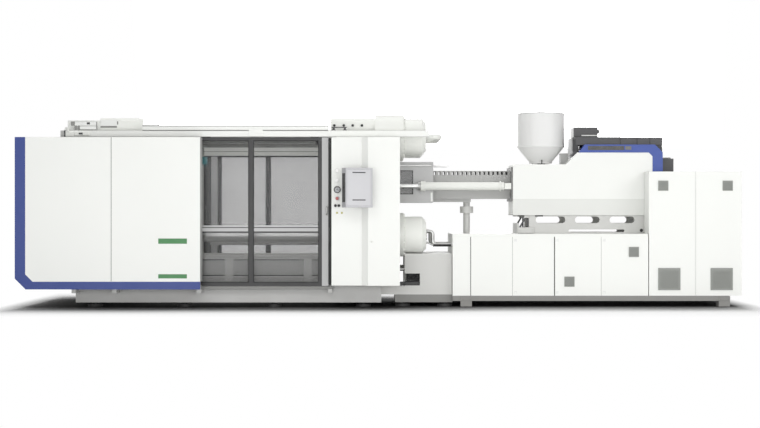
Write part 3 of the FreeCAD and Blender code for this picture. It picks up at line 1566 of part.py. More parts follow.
# ---------------------------------------------------------------- hood, drives and hopper
def hood():
    """Painted hood bent over the top and down the right end of the cover, open underneath."""
    low = cover_top
    foot = hood_top - hood_chamfer
    outer = [(x_hood, low), (x_hood, hood_top - hood_band), (x_hood + hood_left_chamfer, hood_top),
             (x_hood_end - hood_chamfer, hood_top), (x_hood_end, foot), (x_hood_end, hood_bottom),
             (x_cover_end, hood_bottom), (x_cover_end, cover_top - cover_chamfer),
             (x_cover_end - cover_chamfer, cover_top)]
    wall = hood_wall
    inner = inset(outer, wall)
    seat = [(x_hood + wall, low), inner[1], inner[2], inner[3], inner[4], inner[5],
            (x_cover_end, hood_bottom + wall), (x_cover_end, cover_top - cover_chamfer),
            (x_cover_end - cover_chamfer, cover_top)]
    half = cover_half + hood_proud
    skin = side_prism(outer, -half, half)
    return [skin.cut(side_prism(seat, wall - half, half - wall))]


def drive_unit():
    """Drive housing on top of the hood, with a raised box, and the motor on the right end."""
    half = drive_unit_width / 2
    x_ramp = x_cover + cover_low_length + cover_ramp
    band = block(x_drive, x_drive + drive_length, -half, half, hood_top, hood_top + drive_band_height)
    leg = side_prism([(x_drive, ramp_height(x_drive)), (x_ramp, cover_top),
                      (x_ramp, hood_top), (x_drive, hood_top)],
                     -half, half)
    x_box = x_drive + drive_box_left
    box = block(x_box, x_box + drive_box_length, -drive_box_width / 2, drive_box_width / 2,
                hood_top + drive_band_height, hood_top + drive_band_height + drive_box_height)
    motor = block(x_hood_end, x_hood_end + rear_motor_length, -rear_motor_width / 2, rear_motor_width / 2,
                  rear_motor_bottom, rear_motor_top)
    x_side = x_cover + side_box_left
    x_step = x_cover + cover_low_length
    side = side_prism([(x_side, cover_low_top), (x_step, cover_low_top),
                       (x_side + side_box_length, ramp_height(x_side + side_box_length)),
                       (x_side + side_box_length, cover_top), (x_side, cover_top)],
                      -side_box_width / 2, side_box_width / 2)
    return [fused([band, leg, box]), motor, side]


def hopper():
    """Sheet hopper on a cast throat, with a slot for its gate and ears for the lid."""
    wall = hopper_wall
    half = hopper_base_size / 2
    flange_z = hopper_cone_bottom - 2 * lid_rim
    base = fused([block(x_hopper - half, x_hopper + half, -half, half, throat_top, flange_z),
                  bar_z(hopper_cone_radius + lid_rim, x_hopper, 0, flange_z, hopper_cone_bottom)])
    gate_z = flange_z - 2 * gate_thickness
    slot = block(x_hopper - gate_width / 2 - running_gap, x_hopper + gate_width / 2 + running_gap,
                 -half, gate_width / 2, gate_z - running_gap, gate_z + gate_thickness + running_gap)
    outer = fused([taper_z(hopper_cone_radius, hopper_radius, x_hopper, 0,
                           hopper_cone_bottom, hopper_junction),
                   bar_z(hopper_radius, x_hopper, 0, hopper_junction, hopper_rim)])
    inner = fused([taper_z(hopper_cone_radius - wall, hopper_radius - wall, x_hopper, 0,
                           hopper_cone_bottom, hopper_junction),
                   bar_z(hopper_radius - wall, x_hopper, 0, hopper_junction, hopper_rim)])
    throat = bar_z(feed_radius, x_hopper, 0, throat_top, hopper_cone_bottom)
    shell = outer.cut(inner)
    y_pin = hopper_radius + hinge_offset
    z_pin = hopper_rim + lid_rim / 2
    pieces = [block(x_hopper - hinge_width, x_hopper + hinge_width,
                    hopper_radius - wall / 2, y_pin + hinge_radius,
                    z_pin - 3 * hinge_radius, z_pin - 2 * hinge_radius)]
    for side in (-1, 1):
        a, b = sorted((side * (hinge_width - hinge_radius), side * hinge_width))
        pieces.append(block(x_hopper + a, x_hopper + b, y_pin - hinge_radius, y_pin + hinge_radius,
                            z_pin - 3 * hinge_radius, z_pin + hinge_radius))
    pieces.append(bar_x(hinge_pin_radius, x_hopper - hinge_width, x_hopper + hinge_width, y_pin, z_pin))
    return [fused([base.cut([slot, throat]), shell] + pieces)]


def hopper_lid():
    """Shallow conical lid with a hinge knuckle at the back."""
    rim_top = hopper_rim + lid_rim
    disc = bar_z(hopper_radius, x_hopper, 0, hopper_rim, rim_top)
    crown = taper_z(hopper_radius, hopper_wall, x_hopper, 0, rim_top, hopper_rim + lid_rise)
    y_pin = hopper_radius + hinge_offset
    z_pin = hopper_rim + lid_rim / 2
    inner = hinge_width - hinge_radius - running_gap
    knuckle = bar_x(hinge_radius, x_hopper - inner, x_hopper + inner, y_pin, z_pin)
    strap = block(x_hopper - inner, x_hopper + inner, hopper_radius - hinge_offset, y_pin,
                  hopper_rim, rim_top)
    hole = bar_x(hinge_pin_radius + running_gap, x_hopper - inner, x_hopper + inner, y_pin, z_pin)
    return [fused([disc, crown, knuckle, strap]).cut(hole)]


def hopper_gate():
    """Sliding shut-off plate under the hopper with its pull handle."""
    half = hopper_base_size / 2
    gate_z = hopper_cone_bottom - 2 * lid_rim - 2 * gate_thickness
    plate = block(x_hopper - gate_width / 2, x_hopper + gate_width / 2, -half - gate_thickness,
                  gate_width / 2 - running_gap, gate_z, gate_z + gate_thickness)
    z_mid = gate_z + gate_thickness / 2
    stem = bar_y(gate_thickness / 2, x_hopper, -half - gate_handle, -half - gate_thickness, z_mid)
    grip = bar_z(gate_thickness, x_hopper, -half - gate_handle, z_mid, z_mid + gate_grip_height)
    return [fused([plate, stem, grip])]


# ---------------------------------------------------------------- cooling water manifold
def water_manifold(y_reach):
    """Flow and return headers with a row of regulated tubes, on the rear service column."""
    x0 = (x_column + x_gap - manifold_length) / 2
    x1 = x0 + manifold_length
    header = manifold_header
    y1 = y_reach - manifold_knob_length
    z_low = manifold_height
    z_high = manifold_height + manifold_rise
    headers = [block(x0, x1, y1 - header, y1, z, z + header) for z in (z_low, z_high)]
    arms = [block(x, x + header, column_front, y1 - header, z, z + header)
            for x in (x0, x1 - header) for z in (z_low, z_high)]
    pieces = headers + arms
    pitch = manifold_length / manifold_tubes
    for step in range(manifold_tubes):
        x = x0 + (step + 0.5) * pitch
        pieces.append(bar_z(manifold_tube_radius, x, y1 - header / 2, z_low + header, z_high))
        pieces.append(bar_y(manifold_knob_radius, x, y1, y_reach, z_high + header / 2))
        z0 = z_high + header
        pieces.append(bar_z(nipple_radius, x, y1 - header / 2, z0, z0 + nipple_length))
        pieces.append(bar_z(nipple_radius, x, y1 - header / 2, z_low - nipple_length, z_low))
    return [fused(pieces)]


def build():
    os.makedirs("parts", exist_ok=True)
    screen = operator_panel()
    nodes = {
        "clamp_base": clamp_base() + guide_rails(),
        "levelling_pads": levelling_pads(),
        "fixed_platen": fixed_platen(),
        "pressure_cylinders": pressure_cylinders(),
        "cylinder_caps": cylinder_caps(),
        "tie_bars": tie_bars(),
        "travel_cylinders": travel_cylinders(),
        "guard_frame": guard_frame(),
        "guard_panels": guard_panels() + rear_column(),
        "corner_trim": corner_trim(),
        "door_rails": door_rails() + cable_duct(),
        "door_seals": door_seals(),
        "control_column": control_column(),
        "pressure_gauge": pressure_gauge(),
        "centre_tank": centre_tank(),
        "skids": tank_skid() + injection_skid(),
        "transfer_pipes": transfer_pipes(),
        "injection_base": injection_base(),
        "electric_cabinet": electric_cabinet(),
        "hydraulic_unit": hydraulic_unit(),
        "drive_rack": drive_rack(),
        "injection_bed": injection_bed() + barrel_support(),
        "guide_rods": guide_rods(),
        "water_manifold": water_manifold(-screen[0].BoundBox.YMin),
        "moving_platen": moving_platen(),
        "lock_housings": lock_housings(),
        "travel_rods": travel_rods(),
        "ejector_plate": ejector_plate(),
        "split_nuts_front": split_nuts(-1),
        "split_nuts_rear": split_nuts(1),
        "front_door_frame": [door_frame(door_mullion_right, door_top_rail), door_handle()],
        "front_door_glass": door_panes(door_mullion_right, door_top_rail),
        "rear_door_frame": [mirrored(door_frame(rear_mullion_right, rear_top_rail)), mirrored(door_handle())],
        "rear_door_glass": [mirrored(pane) for pane in door_panes(rear_mullion_right, rear_top_rail)],
        "operator_panel": screen,
        "emergency_stop": emergency_stop(),
        "gauge_needle": gauge_needle(),
        "purge_guard": purge_guard(),
        "injection_housing": injection_housing(),
        "barrel": barrel(),
        "barrel_shroud": barrel_shroud() + shroud_tray(),
        "carriage_cover": carriage_cover(),
        "carriage_jacks": carriage_jacks(),
        "hood": hood(),
        "drive_unit": drive_unit(),
        "hopper": hopper(),
        "hopper_lid": hopper_lid(),
        "hopper_gate": hopper_gate(),
        "injection_piston": injection_piston(),
        "screw": screw(),
    }
    for index in range(4):
        nodes["base_door_" + str(index + 1)] = base_door(index)
    nodes["electric_door_left"] = electric_door(-1)
    nodes["electric_door_right"] = electric_door(1)
    for names, places, radius in ((("white_button_upper", "white_button_lower"), white_buttons,
                                   white_button_radius),
                                  (("yellow_button_left", "yellow_button_right"), yellow_buttons,
                                   yellow_button_radius)):
        for name, (offset, z) in zip(names, places):
            nodes[name] = [push_button(offset, z, radius)]
    for name, shapes in nodes.items():
        save(name, shapes)


build()
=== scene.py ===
"""Finishes and fine parts for a large two-platen injection moulding machine."""
import json
import math

import bmesh
import bpy
from mathutils import Matrix, Vector


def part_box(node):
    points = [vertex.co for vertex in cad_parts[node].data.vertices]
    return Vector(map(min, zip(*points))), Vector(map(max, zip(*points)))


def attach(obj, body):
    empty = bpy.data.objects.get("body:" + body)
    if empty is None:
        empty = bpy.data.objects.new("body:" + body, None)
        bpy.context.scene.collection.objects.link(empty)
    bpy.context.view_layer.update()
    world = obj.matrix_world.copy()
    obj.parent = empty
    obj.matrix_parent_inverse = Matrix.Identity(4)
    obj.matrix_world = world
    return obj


bl_info = {
    "name": "Injection Moulding Machine",
    "version": (1, 0, 0),
    "blender": (4, 5, 0),
    "location": "View3D > Sidebar > Machine",
    "description": "Builds the finishes, fine parts and studio of an injection moulding machine",
    "category": "Object",
}

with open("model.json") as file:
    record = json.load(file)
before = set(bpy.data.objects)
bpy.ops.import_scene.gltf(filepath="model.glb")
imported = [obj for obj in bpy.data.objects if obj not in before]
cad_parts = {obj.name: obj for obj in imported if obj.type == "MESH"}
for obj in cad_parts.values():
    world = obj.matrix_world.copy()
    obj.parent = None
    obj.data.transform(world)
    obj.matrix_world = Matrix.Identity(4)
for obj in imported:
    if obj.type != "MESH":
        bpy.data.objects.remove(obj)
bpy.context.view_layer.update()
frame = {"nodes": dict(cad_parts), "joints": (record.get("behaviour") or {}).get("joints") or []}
NODES = frame["nodes"]

# Places read from the frame, in metres
TRIM_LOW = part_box("corner_trim")[0]
PANELS_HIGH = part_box("guard_panels")[1]
COLUMN_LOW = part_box("control_column")[0]
CAPS_LOW, CAPS_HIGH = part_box("cylinder_caps")
PRESS_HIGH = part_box("pressure_cylinders")[1]
PLATEN_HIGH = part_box("fixed_platen")[1]
MOVING_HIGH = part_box("moving_platen")[1]
LOCKS_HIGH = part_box("lock_housings")[1]
CLAMP_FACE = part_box("clamp_base")[0].y
RAIL_LOW, RAIL_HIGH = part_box("door_rails")
COVER_LOW, COVER_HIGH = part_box("carriage_cover")
HOOD_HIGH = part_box("hood")[1]
DRIVE_LOW, DRIVE_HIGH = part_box("drive_unit")
HOPPER_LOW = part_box("hopper")[0]
LID_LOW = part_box("hopper_lid")[0]
BASE_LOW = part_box("injection_base")[0]
TANK_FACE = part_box("centre_tank")[1].x - 0.693
GAUGE_LOW, GAUGE_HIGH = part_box("pressure_gauge")
STOP_LOW, STOP_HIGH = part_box("emergency_stop")
SCREEN_LOW, SCREEN_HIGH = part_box("operator_panel")
BED_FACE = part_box("injection_bed")[1].y
DOOR_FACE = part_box("base_door_1")[0].y

# Faces and radii of the CAD bodies that their boxes don't give
GUARD_FACE = TRIM_LOW.y
BUTTON_FACE = GUARD_FACE + 0.08
PANEL_SEAM = TRIM_LOW.x + 1.377
PANEL_END = -2.607
GLASS_PLANE = 1.080
DOOR_INSIDE, DOOR_OUTSIDE = 1.050, 1.110
DRIVE_BACK = 4.186
SCREEN_TILT = 20
HOPPER_RADIUS = 0.358
CAP_RADIUS = 0.266
FLANGE_CIRCLE = 0.294
SKID_FACE = -0.900
PURGE_FACE = -0.320
TIE_Y = CAPS_HIGH.y - CAP_RADIUS
TIE_POINTS = [(side * TIE_Y, z) for z in (CAPS_LOW.z + CAP_RADIUS, CAPS_HIGH.z - CAP_RADIUS) for side in (-1, 1)]
DOORS = (("front", -1), ("rear", 1))
ALONG, UP, FORWARD = (1, 0, 0), (0, 0, 1), (0, -1, 0)
SHARP = math.radians(35)


# ---------------------------------------------------------------- mesh helpers
def new_meshes(count):
    """Empty bmeshes, one for each piece of a step."""
    return [bmesh.new() for _ in range(count)]


def add_plate(bm, low, high):
    """A box between two corners."""
    low, high = Vector(low), Vector(high)
    place = Matrix.Translation((low + high) / 2) @ Matrix.Diagonal((*(high - low), 1))
    bmesh.ops.create_cube(bm, size=1, matrix=place)


def add_pair(bm, low, high):
    """A plate in front of the middle plane and its mirror image behind it."""
    add_plate(bm, low, high)
    add_plate(bm, (low[0], -high[1], low[2]), (high[0], -low[1], high[2]))


def add_rod(bm, radius, start, end, sides=24):
    """A round bar from start to end."""
    start, end = Vector(start), Vector(end)
    along = end - start
    place = Matrix.Translation((start + end) / 2) @ along.to_track_quat("Z", "Y").to_matrix().to_4x4()
    bmesh.ops.create_cone(bm, cap_ends=True, segments=sides, radius1=radius, radius2=radius,
                          depth=along.length, matrix=place)


def add_stud(bm, radius, place, proud, sides=14):
    """A screw head or pin that stands along Y on a face."""
    add_rod(bm, radius, place, (place[0], place[1] + proud, place[2]), sides)


def add_turned(bm, profile, centre, axis, steps=48):
    """A ring spun round an axis from a closed profile of (radius, distance along the axis)."""
    centre, axis = Vector(centre), Vector(axis).normalized()
    out = axis.orthogonal().normalized()
    corners = [bm.verts.new(centre + out * radius + axis * along) for radius, along in profile]
    edges = [bm.edges.new(pair) for pair in zip(corners, corners[1:] + corners[:1])]
    bmesh.ops.spin(bm, geom=corners + edges, cent=centre, axis=axis, angle=2 * math.pi, steps=steps,
                   use_merge=True)


def add_ring(bm, outer, inner, start, end, steps=48):
    """A flat ring or short tube between two points on its axis."""
    start, end = Vector(start), Vector(end)
    length = (end - start).length
    add_turned(bm, [(inner, 0), (outer, 0), (outer, length), (inner, length)], start, end - start, steps)


def bolt_circle(bm, centre, axis, circle, count, head, proud):
    """Bolt heads evenly round a circle."""
    centre, axis = Vector(centre), Vector(axis).normalized()
    first = axis.orthogonal().normalized() * circle
    for step in range(count):
        spot = centre + Matrix.Rotation(2 * math.pi * step / count, 3, axis) @ first
        add_rod(bm, head, spot, spot + axis * proud, 12)


def make_piece(name, bm, finish, body, bevel=0.0, both=False):
    """Turns a bmesh into a finished piece that rides on its body; both adds its mirror image behind."""
    if both:
        copy = bmesh.ops.duplicate(bm, geom=bm.verts[:] + bm.edges[:] + bm.faces[:])
        corners = [part for part in copy["geom"] if isinstance(part, bmesh.types.BMVert)]
        bmesh.ops.scale(bm, vec=(1, -1, 1), verts=corners)
    bmesh.ops.remove_doubles(bm, verts=bm.verts, dist=1e-6)
    bmesh.ops.recalc_face_normals(bm, faces=bm.faces)
    for face in bm.faces:
        face.smooth = True
    for edge in bm.edges:
        edge.smooth = len(edge.link_faces) == 2 and edge.calc_face_angle(0) < SHARP
    mesh = bpy.data.meshes.new(name)
    bm.to_mesh(mesh)
    bm.free()
    piece = bpy.data.objects.new(name, mesh)
    bpy.context.scene.collection.objects.link(piece)
    mesh.materials.append(bpy.data.materials[finish])
    if bevel:
        rounding = piece.modifiers.new("rounded edges", "BEVEL")
        rounding.width = bevel
        rounding.segments = 2
        rounding.limit_method = "ANGLE"
        rounding.angle_limit = SHARP
    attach(piece, body)


# ---------------------------------------------------------------- shader helpers
def new_group(name, inputs, outputs):
    """A shader node group with named sockets."""
    group = bpy.data.node_groups.new(name, "ShaderNodeTree")
    for label, kind, value in inputs:
        socket = group.interface.new_socket(name=label, in_out="INPUT", socket_type="NodeSocket" + kind)
        socket.default_value = value
    for label in outputs:
        group.interface.new_socket(name=label, in_out="OUTPUT", socket_type="NodeSocketFloat")
    return group, group.nodes.new("NodeGroupInput").outputs, group.nodes.new("NodeGroupOutput").inputs


def feed(tree, socket, value):
    """Links a source to a socket, or sets its plain value."""
    if isinstance(value, bpy.types.NodeSocket):
        tree.links.new(value, socket)
    else:
        socket.default_value = value


def add_node(tree, kind, inputs=(), **settings):
    """A node with its settings; each input is a plain value or the socket that feeds it."""
    node = tree.nodes.new(kind)
    for key, value in settings.items():
        setattr(node, key, value)
    for key, value in dict(inputs).items():
        feed(tree, node.inputs[key], value)
    return node


def add_math(tree, operation, *sides, clamp=False):
    """A Math node; each side is a socket or a number."""
    return add_node(tree, "ShaderNodeMath", enumerate(sides), operation=operation, use_clamp=clamp).outputs[0]


def add_blend(tree, factor, a, b):
    """A colour mix; each colour is a socket or a value."""
    node = add_node(tree, "ShaderNodeMix", data_type="RGBA")
    for key, side in (("Factor", factor), ("A", a), ("B", b)):
        feed(tree, next(s for s in node.inputs if s.name == key and (key == "Factor" or s.type == "RGBA")), side)
    return next(s for s in node.outputs if s.type == "RGBA")


def add_noise(tree, scale, detail=2.0, rough=0.5, place=None):
    """Noise on Object coordinates, or on those of another socket."""
    place = place or add_node(tree, "ShaderNodeTexCoord").outputs["Object"]
    return add_node(tree, "ShaderNodeTexNoise", {"Vector": place, "Scale": scale, "Detail": detail,
                                                 "Roughness": rough}).outputs["Fac"]


def add_ramp(tree, value, start, gain):
    """Rises from 0 where the value passes start, and stops at 1."""
    return add_math(tree, "MULTIPLY", add_math(tree, "SUBTRACT", value, start), gain, clamp=True)


def group_worn_edges():
    """Mask of the edges where paint is rubbed thin."""
    group, enter, leave = new_group("worn_edges", [("Radius", "Float", 0.006), ("Amount", "Float", 0.5)], ["Mask"])
    soft = add_node(group, "ShaderNodeBevel", {"Radius": enter["Radius"]}, samples=4)
    plain = add_node(group, "ShaderNodeNewGeometry")
    turn = add_node(group, "ShaderNodeVectorMath", {0: soft.outputs[0], 1: plain.outputs["Normal"]},
                    operation="DOT_PRODUCT")
    edge = add_math(group, "MULTIPLY", add_math(group, "SUBTRACT", 1.0, turn.outputs["Value"]), 4.0, clamp=True)
    breaks = add_ramp(group, add_noise(group, 9.0, 5.0, 0.65), 0.42, 5.0)
    worn = add_math(group, "MULTIPLY", add_math(group, "MULTIPLY", edge, breaks), enter["Amount"], clamp=True)
    feed(group, leave["Mask"], worn)


def group_settled_dust():
    """Mask of dust: low on the sides, thin on the faces that look up."""
    group, enter, leave = new_group("settled_dust", [("Height", "Float", 0.5), ("Amount", "Float", 0.3)], ["Mask"])
    place = add_node(group, "ShaderNodeTexCoord")
    split = add_node(group, "ShaderNodeSeparateXYZ", {0: place.outputs["Object"]})
    share = add_math(group, "DIVIDE", split.outputs["Z"], enter["Height"])
    low = add_math(group, "SUBTRACT", 1.0, share, clamp=True)
    normal = add_node(group, "ShaderNodeNewGeometry")
    up = add_node(group, "ShaderNodeSeparateXYZ", {0: normal.outputs["Normal"]})
    top = add_ramp(group, up.outputs["Z"], 0.7, 1.2)
    cloud = add_ramp(group, add_noise(group, 2.2, 6.0, 0.6), 0.3, 2.0)
    both = add_math(group, "MAXIMUM", add_math(group, "MULTIPLY", low, low), top)
    mask = add_math(group, "MULTIPLY", add_math(group, "MULTIPLY", both, cloud), enter["Amount"], clamp=True)
    feed(group, leave["Mask"], mask)


def group_paint_skin():
    """Fine orange peel, broad soft shade changes and uneven gloss of sprayed paint."""
    group, enter, leave = new_group("paint_skin", [("Peel", "Float", 260.0)], ["Shade", "Gloss", "Height"])
    feed(group, leave["Shade"], add_noise(group, 0.9, 3.0))
    feed(group, leave["Gloss"], add_noise(group, 7.0, 6.0, 0.6))
    feed(group, leave["Height"], add_noise(group, enter["Peel"]))


def group_ground_lines():
    """Fine lines that grinding or brushing leaves, stretched along one axis."""
    group, enter, leave = new_group("ground_lines", [("Stretch", "Vector", (1.0, 60.0, 60.0))],
                                    ["Lines", "Smudge"])
    place = add_node(group, "ShaderNodeTexCoord")
    scaled = add_node(group, "ShaderNodeVectorMath", {0: place.outputs["Object"], 1: enter["Stretch"]},
                      operation="MULTIPLY")
    feed(group, leave["Lines"], add_noise(group, 6.0, 4.0, 0.7, scaled.outputs[0]))
    feed(group, leave["Smudge"], add_noise(group, 3.0, 5.0))


def group_cast_skin():
    """Sand-cast lumps under thick paint."""
    group, enter, leave = new_group("cast_skin", [("Grain", "Float", 38.0)], ["Height"])
    place = add_node(group, "ShaderNodeTexCoord")
    pits = add_node(group, "ShaderNodeTexVoronoi", {"Scale": 90.0, "Vector": place.outputs["Object"]})
    lumps = add_noise(group, enter["Grain"], 6.0, 0.7)
    feed(group, leave["Height"], add_math(group, "MULTIPLY_ADD", pits.outputs["Distance"], 0.3, lumps))


def use_group(tree, name, values=()):
    """An effect group placed in a material with its own values."""
    node = tree.nodes.new("ShaderNodeGroup")
    node.node_tree = bpy.data.node_groups[name]
    for key, value in dict(values).items():
        node.inputs[key].default_value = value
    return node.outputs


def start_material(name, **constants):
    """An empty material with its Principled shader and plain socket values."""
    material = bpy.data.materials.new(name)
    material.use_nodes = True
    tree = material.node_tree
    tree.nodes.clear()
    shader = add_node(tree, "ShaderNodeBsdfPrincipled", constants)
    add_node(tree, "ShaderNodeOutputMaterial", {"Surface": shader.outputs[0]})
    return tree, shader


def add_bump(tree, shader, height, depth):
    """Relief of the given depth in metres."""
    bump = add_node(tree, "ShaderNodeBump", {"Strength": 1.0, "Distance": depth, "Height": height})
    feed(tree, shader.inputs["Normal"], bump.outputs[0])


def opaque(colour, level=1.0):
    """A colour with its alpha, darkened by a factor."""
    return [channel * level for channel in colour] + [1]


def paint(name, colour, rough=0.4, peel=0.0003, dust=0.25, dust_height=0.6, worn=0.25, cast=0.0):
    """Sprayed paint with peel, uneven gloss, rubbed edges and settled dust."""
    tree, shader = start_material(name)
    skin = use_group(tree, "paint_skin")
    edge = use_group(tree, "worn_edges", {"Amount": worn})
    dusty = use_group(tree, "settled_dust", {"Height": dust_height, "Amount": dust})
    shade = add_math(tree, "MULTIPLY", skin["Shade"], 0.35)
    shaded = add_blend(tree, shade, opaque(colour), opaque(colour, 0.90))
    rubbed = add_blend(tree, edge["Mask"], shaded, [min(1, channel * 0.5 + 0.22) for channel in colour] + [1])
    feed(tree, shader.inputs["Base Color"], add_blend(tree, dusty["Mask"], rubbed, (0.30, 0.28, 0.25, 1)))
    gloss = add_math(tree, "MULTIPLY_ADD", skin["Gloss"], 0.22, rough - 0.11)
    dull = add_math(tree, "ADD", gloss, add_math(tree, "MULTIPLY", dusty["Mask"], 0.5), clamp=True)
    feed(tree, shader.inputs["Roughness"], dull)
    if cast:
        add_bump(tree, shader, use_group(tree, "cast_skin")["Height"], cast)
    else:
        add_bump(tree, shader, skin["Height"], peel)


def bare_metal(name, colour, rough=0.25, stretch=(1.0, 60.0, 60.0), spread=0.15):
    """Ground, turned or brushed metal with fine lines and oily smudges."""
    tree, shader = start_material(name, Metallic=1.0)
    lines = use_group(tree, "ground_lines", {"Stretch": stretch})
    tint = add_blend(tree, lines["Lines"], opaque(colour), opaque(colour, 0.72))
    smudge = add_math(tree, "MULTIPLY", lines["Smudge"], 0.35)
    feed(tree, shader.inputs["Base Color"], add_blend(tree, smudge, tint, opaque(colour, 0.6)))
    feed(tree, shader.inputs["Roughness"], add_math(tree, "MULTIPLY_ADD", lines["Smudge"], spread, rough))
    add_bump(tree, shader, lines["Lines"], 0.00004)


def plastic(name, colour, rough=0.45, grain=0.00015, coat=0.0):
    """Moulded plastic with a fine grain."""
    tree, shader = start_material(name, **{"Coat Weight": coat})
    skin = use_group(tree, "paint_skin", {"Peel": 900.0})
    feed(tree, shader.inputs["Base Color"], add_blend(tree, skin["Shade"], opaque(colour), opaque(colour, 0.85)))
    feed(tree, shader.inputs["Roughness"], add_math(tree, "MULTIPLY_ADD", skin["Gloss"], 0.2, rough - 0.1))
    add_bump(tree, shader, skin["Height"], grain)


def glazing(name, colour, cover):
    """Tinted sheet glazing that lets the light through, with faint wipe marks."""
    tree, shader = start_material(name, **{"Specular IOR Level": 0.5})
    skin = use_group(tree, "paint_skin", {"Peel": 40.0})
    feed(tree, shader.inputs["Base Color"], add_blend(tree, skin["Shade"], opaque(colour), opaque(colour, 0.8)))
    feed(tree, shader.inputs["Roughness"], add_math(tree, "MULTIPLY_ADD", skin["Gloss"], 0.08, 0.02))
    feed(tree, shader.inputs["Alpha"], add_math(tree, "MULTIPLY_ADD", skin["Gloss"], 0.06, cover - 0.03))


# ---------------------------------------------------------------- user settings
def colour_setting(name, words, value):
    return bpy.props.FloatVectorProperty(name=name, description=words, subtype="COLOR", size=3, min=0, max=1,
                                         default=value)


def length_setting(name, words, value):
    return bpy.props.FloatProperty(name=name, description=words, default=value, unit="LENGTH", subtype="DISTANCE")


class MachineColours(bpy.types.PropertyGroup):
    """Paints and finishes of the machine."""
    panel: colour_setting("Panels", "Paint of the guards, covers and cabinet doors", (0.85, 0.86, 0.83))
    trim: colour_setting("Guard trim", "Paint of the trim round the clamp guard", (0.022, 0.048, 0.235))
    hood: colour_setting("Hood", "Paint of the hood behind the hopper", (0.036, 0.076, 0.330))
    mark: colour_setting("Bars", "Paint of the plain bars on the guard", (0.050, 0.215, 0.068))
    base: colour_setting("Clamp base", "Paint of the machine base", (0.52, 0.52, 0.51))
    skid: colour_setting("Skids", "Paint of the skids", (0.24, 0.24, 0.23))
    platen: colour_setting("Castings", "Paint of the platens and cylinders", (0.82, 0.83, 0.79))
    shade: colour_setting("Light grey", "Paint of the shroud and purge guard", (0.44, 0.44, 0.43))
    pale: colour_setting("Pale grey", "Paint of the tank and the injection bed", (0.60, 0.60, 0.58))
    stile: colour_setting("Closing stile", "Paint of the doors' closing stile covers", (0.52, 0.52, 0.52))
    # The cover skirt's darker grey is painted shade for the cover's lower band, which faces a little downward.
    skirt: colour_setting("Cover skirt", "Paint of the band round the carriage cover's foot", (0.74, 0.75, 0.72))
    hopper: colour_setting("Hopper", "Paint of the hopper and its lid", (0.78, 0.78, 0.77))
    dark: colour_setting("Dark grey", "Paint of the drives and door frames", (0.065, 0.065, 0.067))
    frame: colour_setting("Door frames", "Paint of the sliding doors' frames", (0.030, 0.030, 0.031))
    vent: colour_setting("Vents", "Plastic of the filter vents", (0.29, 0.30, 0.28))
    glass: colour_setting("Glazing", "Tint of the window panes", (0.03, 0.031, 0.031))


class MachineSizes(bpy.types.PropertyGroup):
    """Sizes of the fine parts."""
    screw_head: length_setting("Screw head", "Radius of a panel screw's head", 0.007)
    bolt_head: length_setting("Bolt head", "Radius of a cap screw's head", 0.014)
    edge: length_setting("Edge", "Rounding of small pressed and machined edges", 0.0015)


class MachineStudio(bpy.types.PropertyGroup):
    """Studio round the machine."""
    camera_x: length_setting("Camera X", "Camera's place along the machine", -0.033)
    camera_y: length_setting("Camera Y", "Camera's place in front of the machine", -25.9)
    camera_z: length_setting("Camera height", "Camera's height over the floor", 1.35)
    lens: bpy.props.FloatProperty(name="Lens", description="Focal length in millimetres", default=81.1)
    fill: bpy.props.FloatProperty(name="Fill", description="Strength of the even studio light", default=0.40)
    key: bpy.props.FloatProperty(name="Key", description="Power of the front lamp in watts", default=600.0)


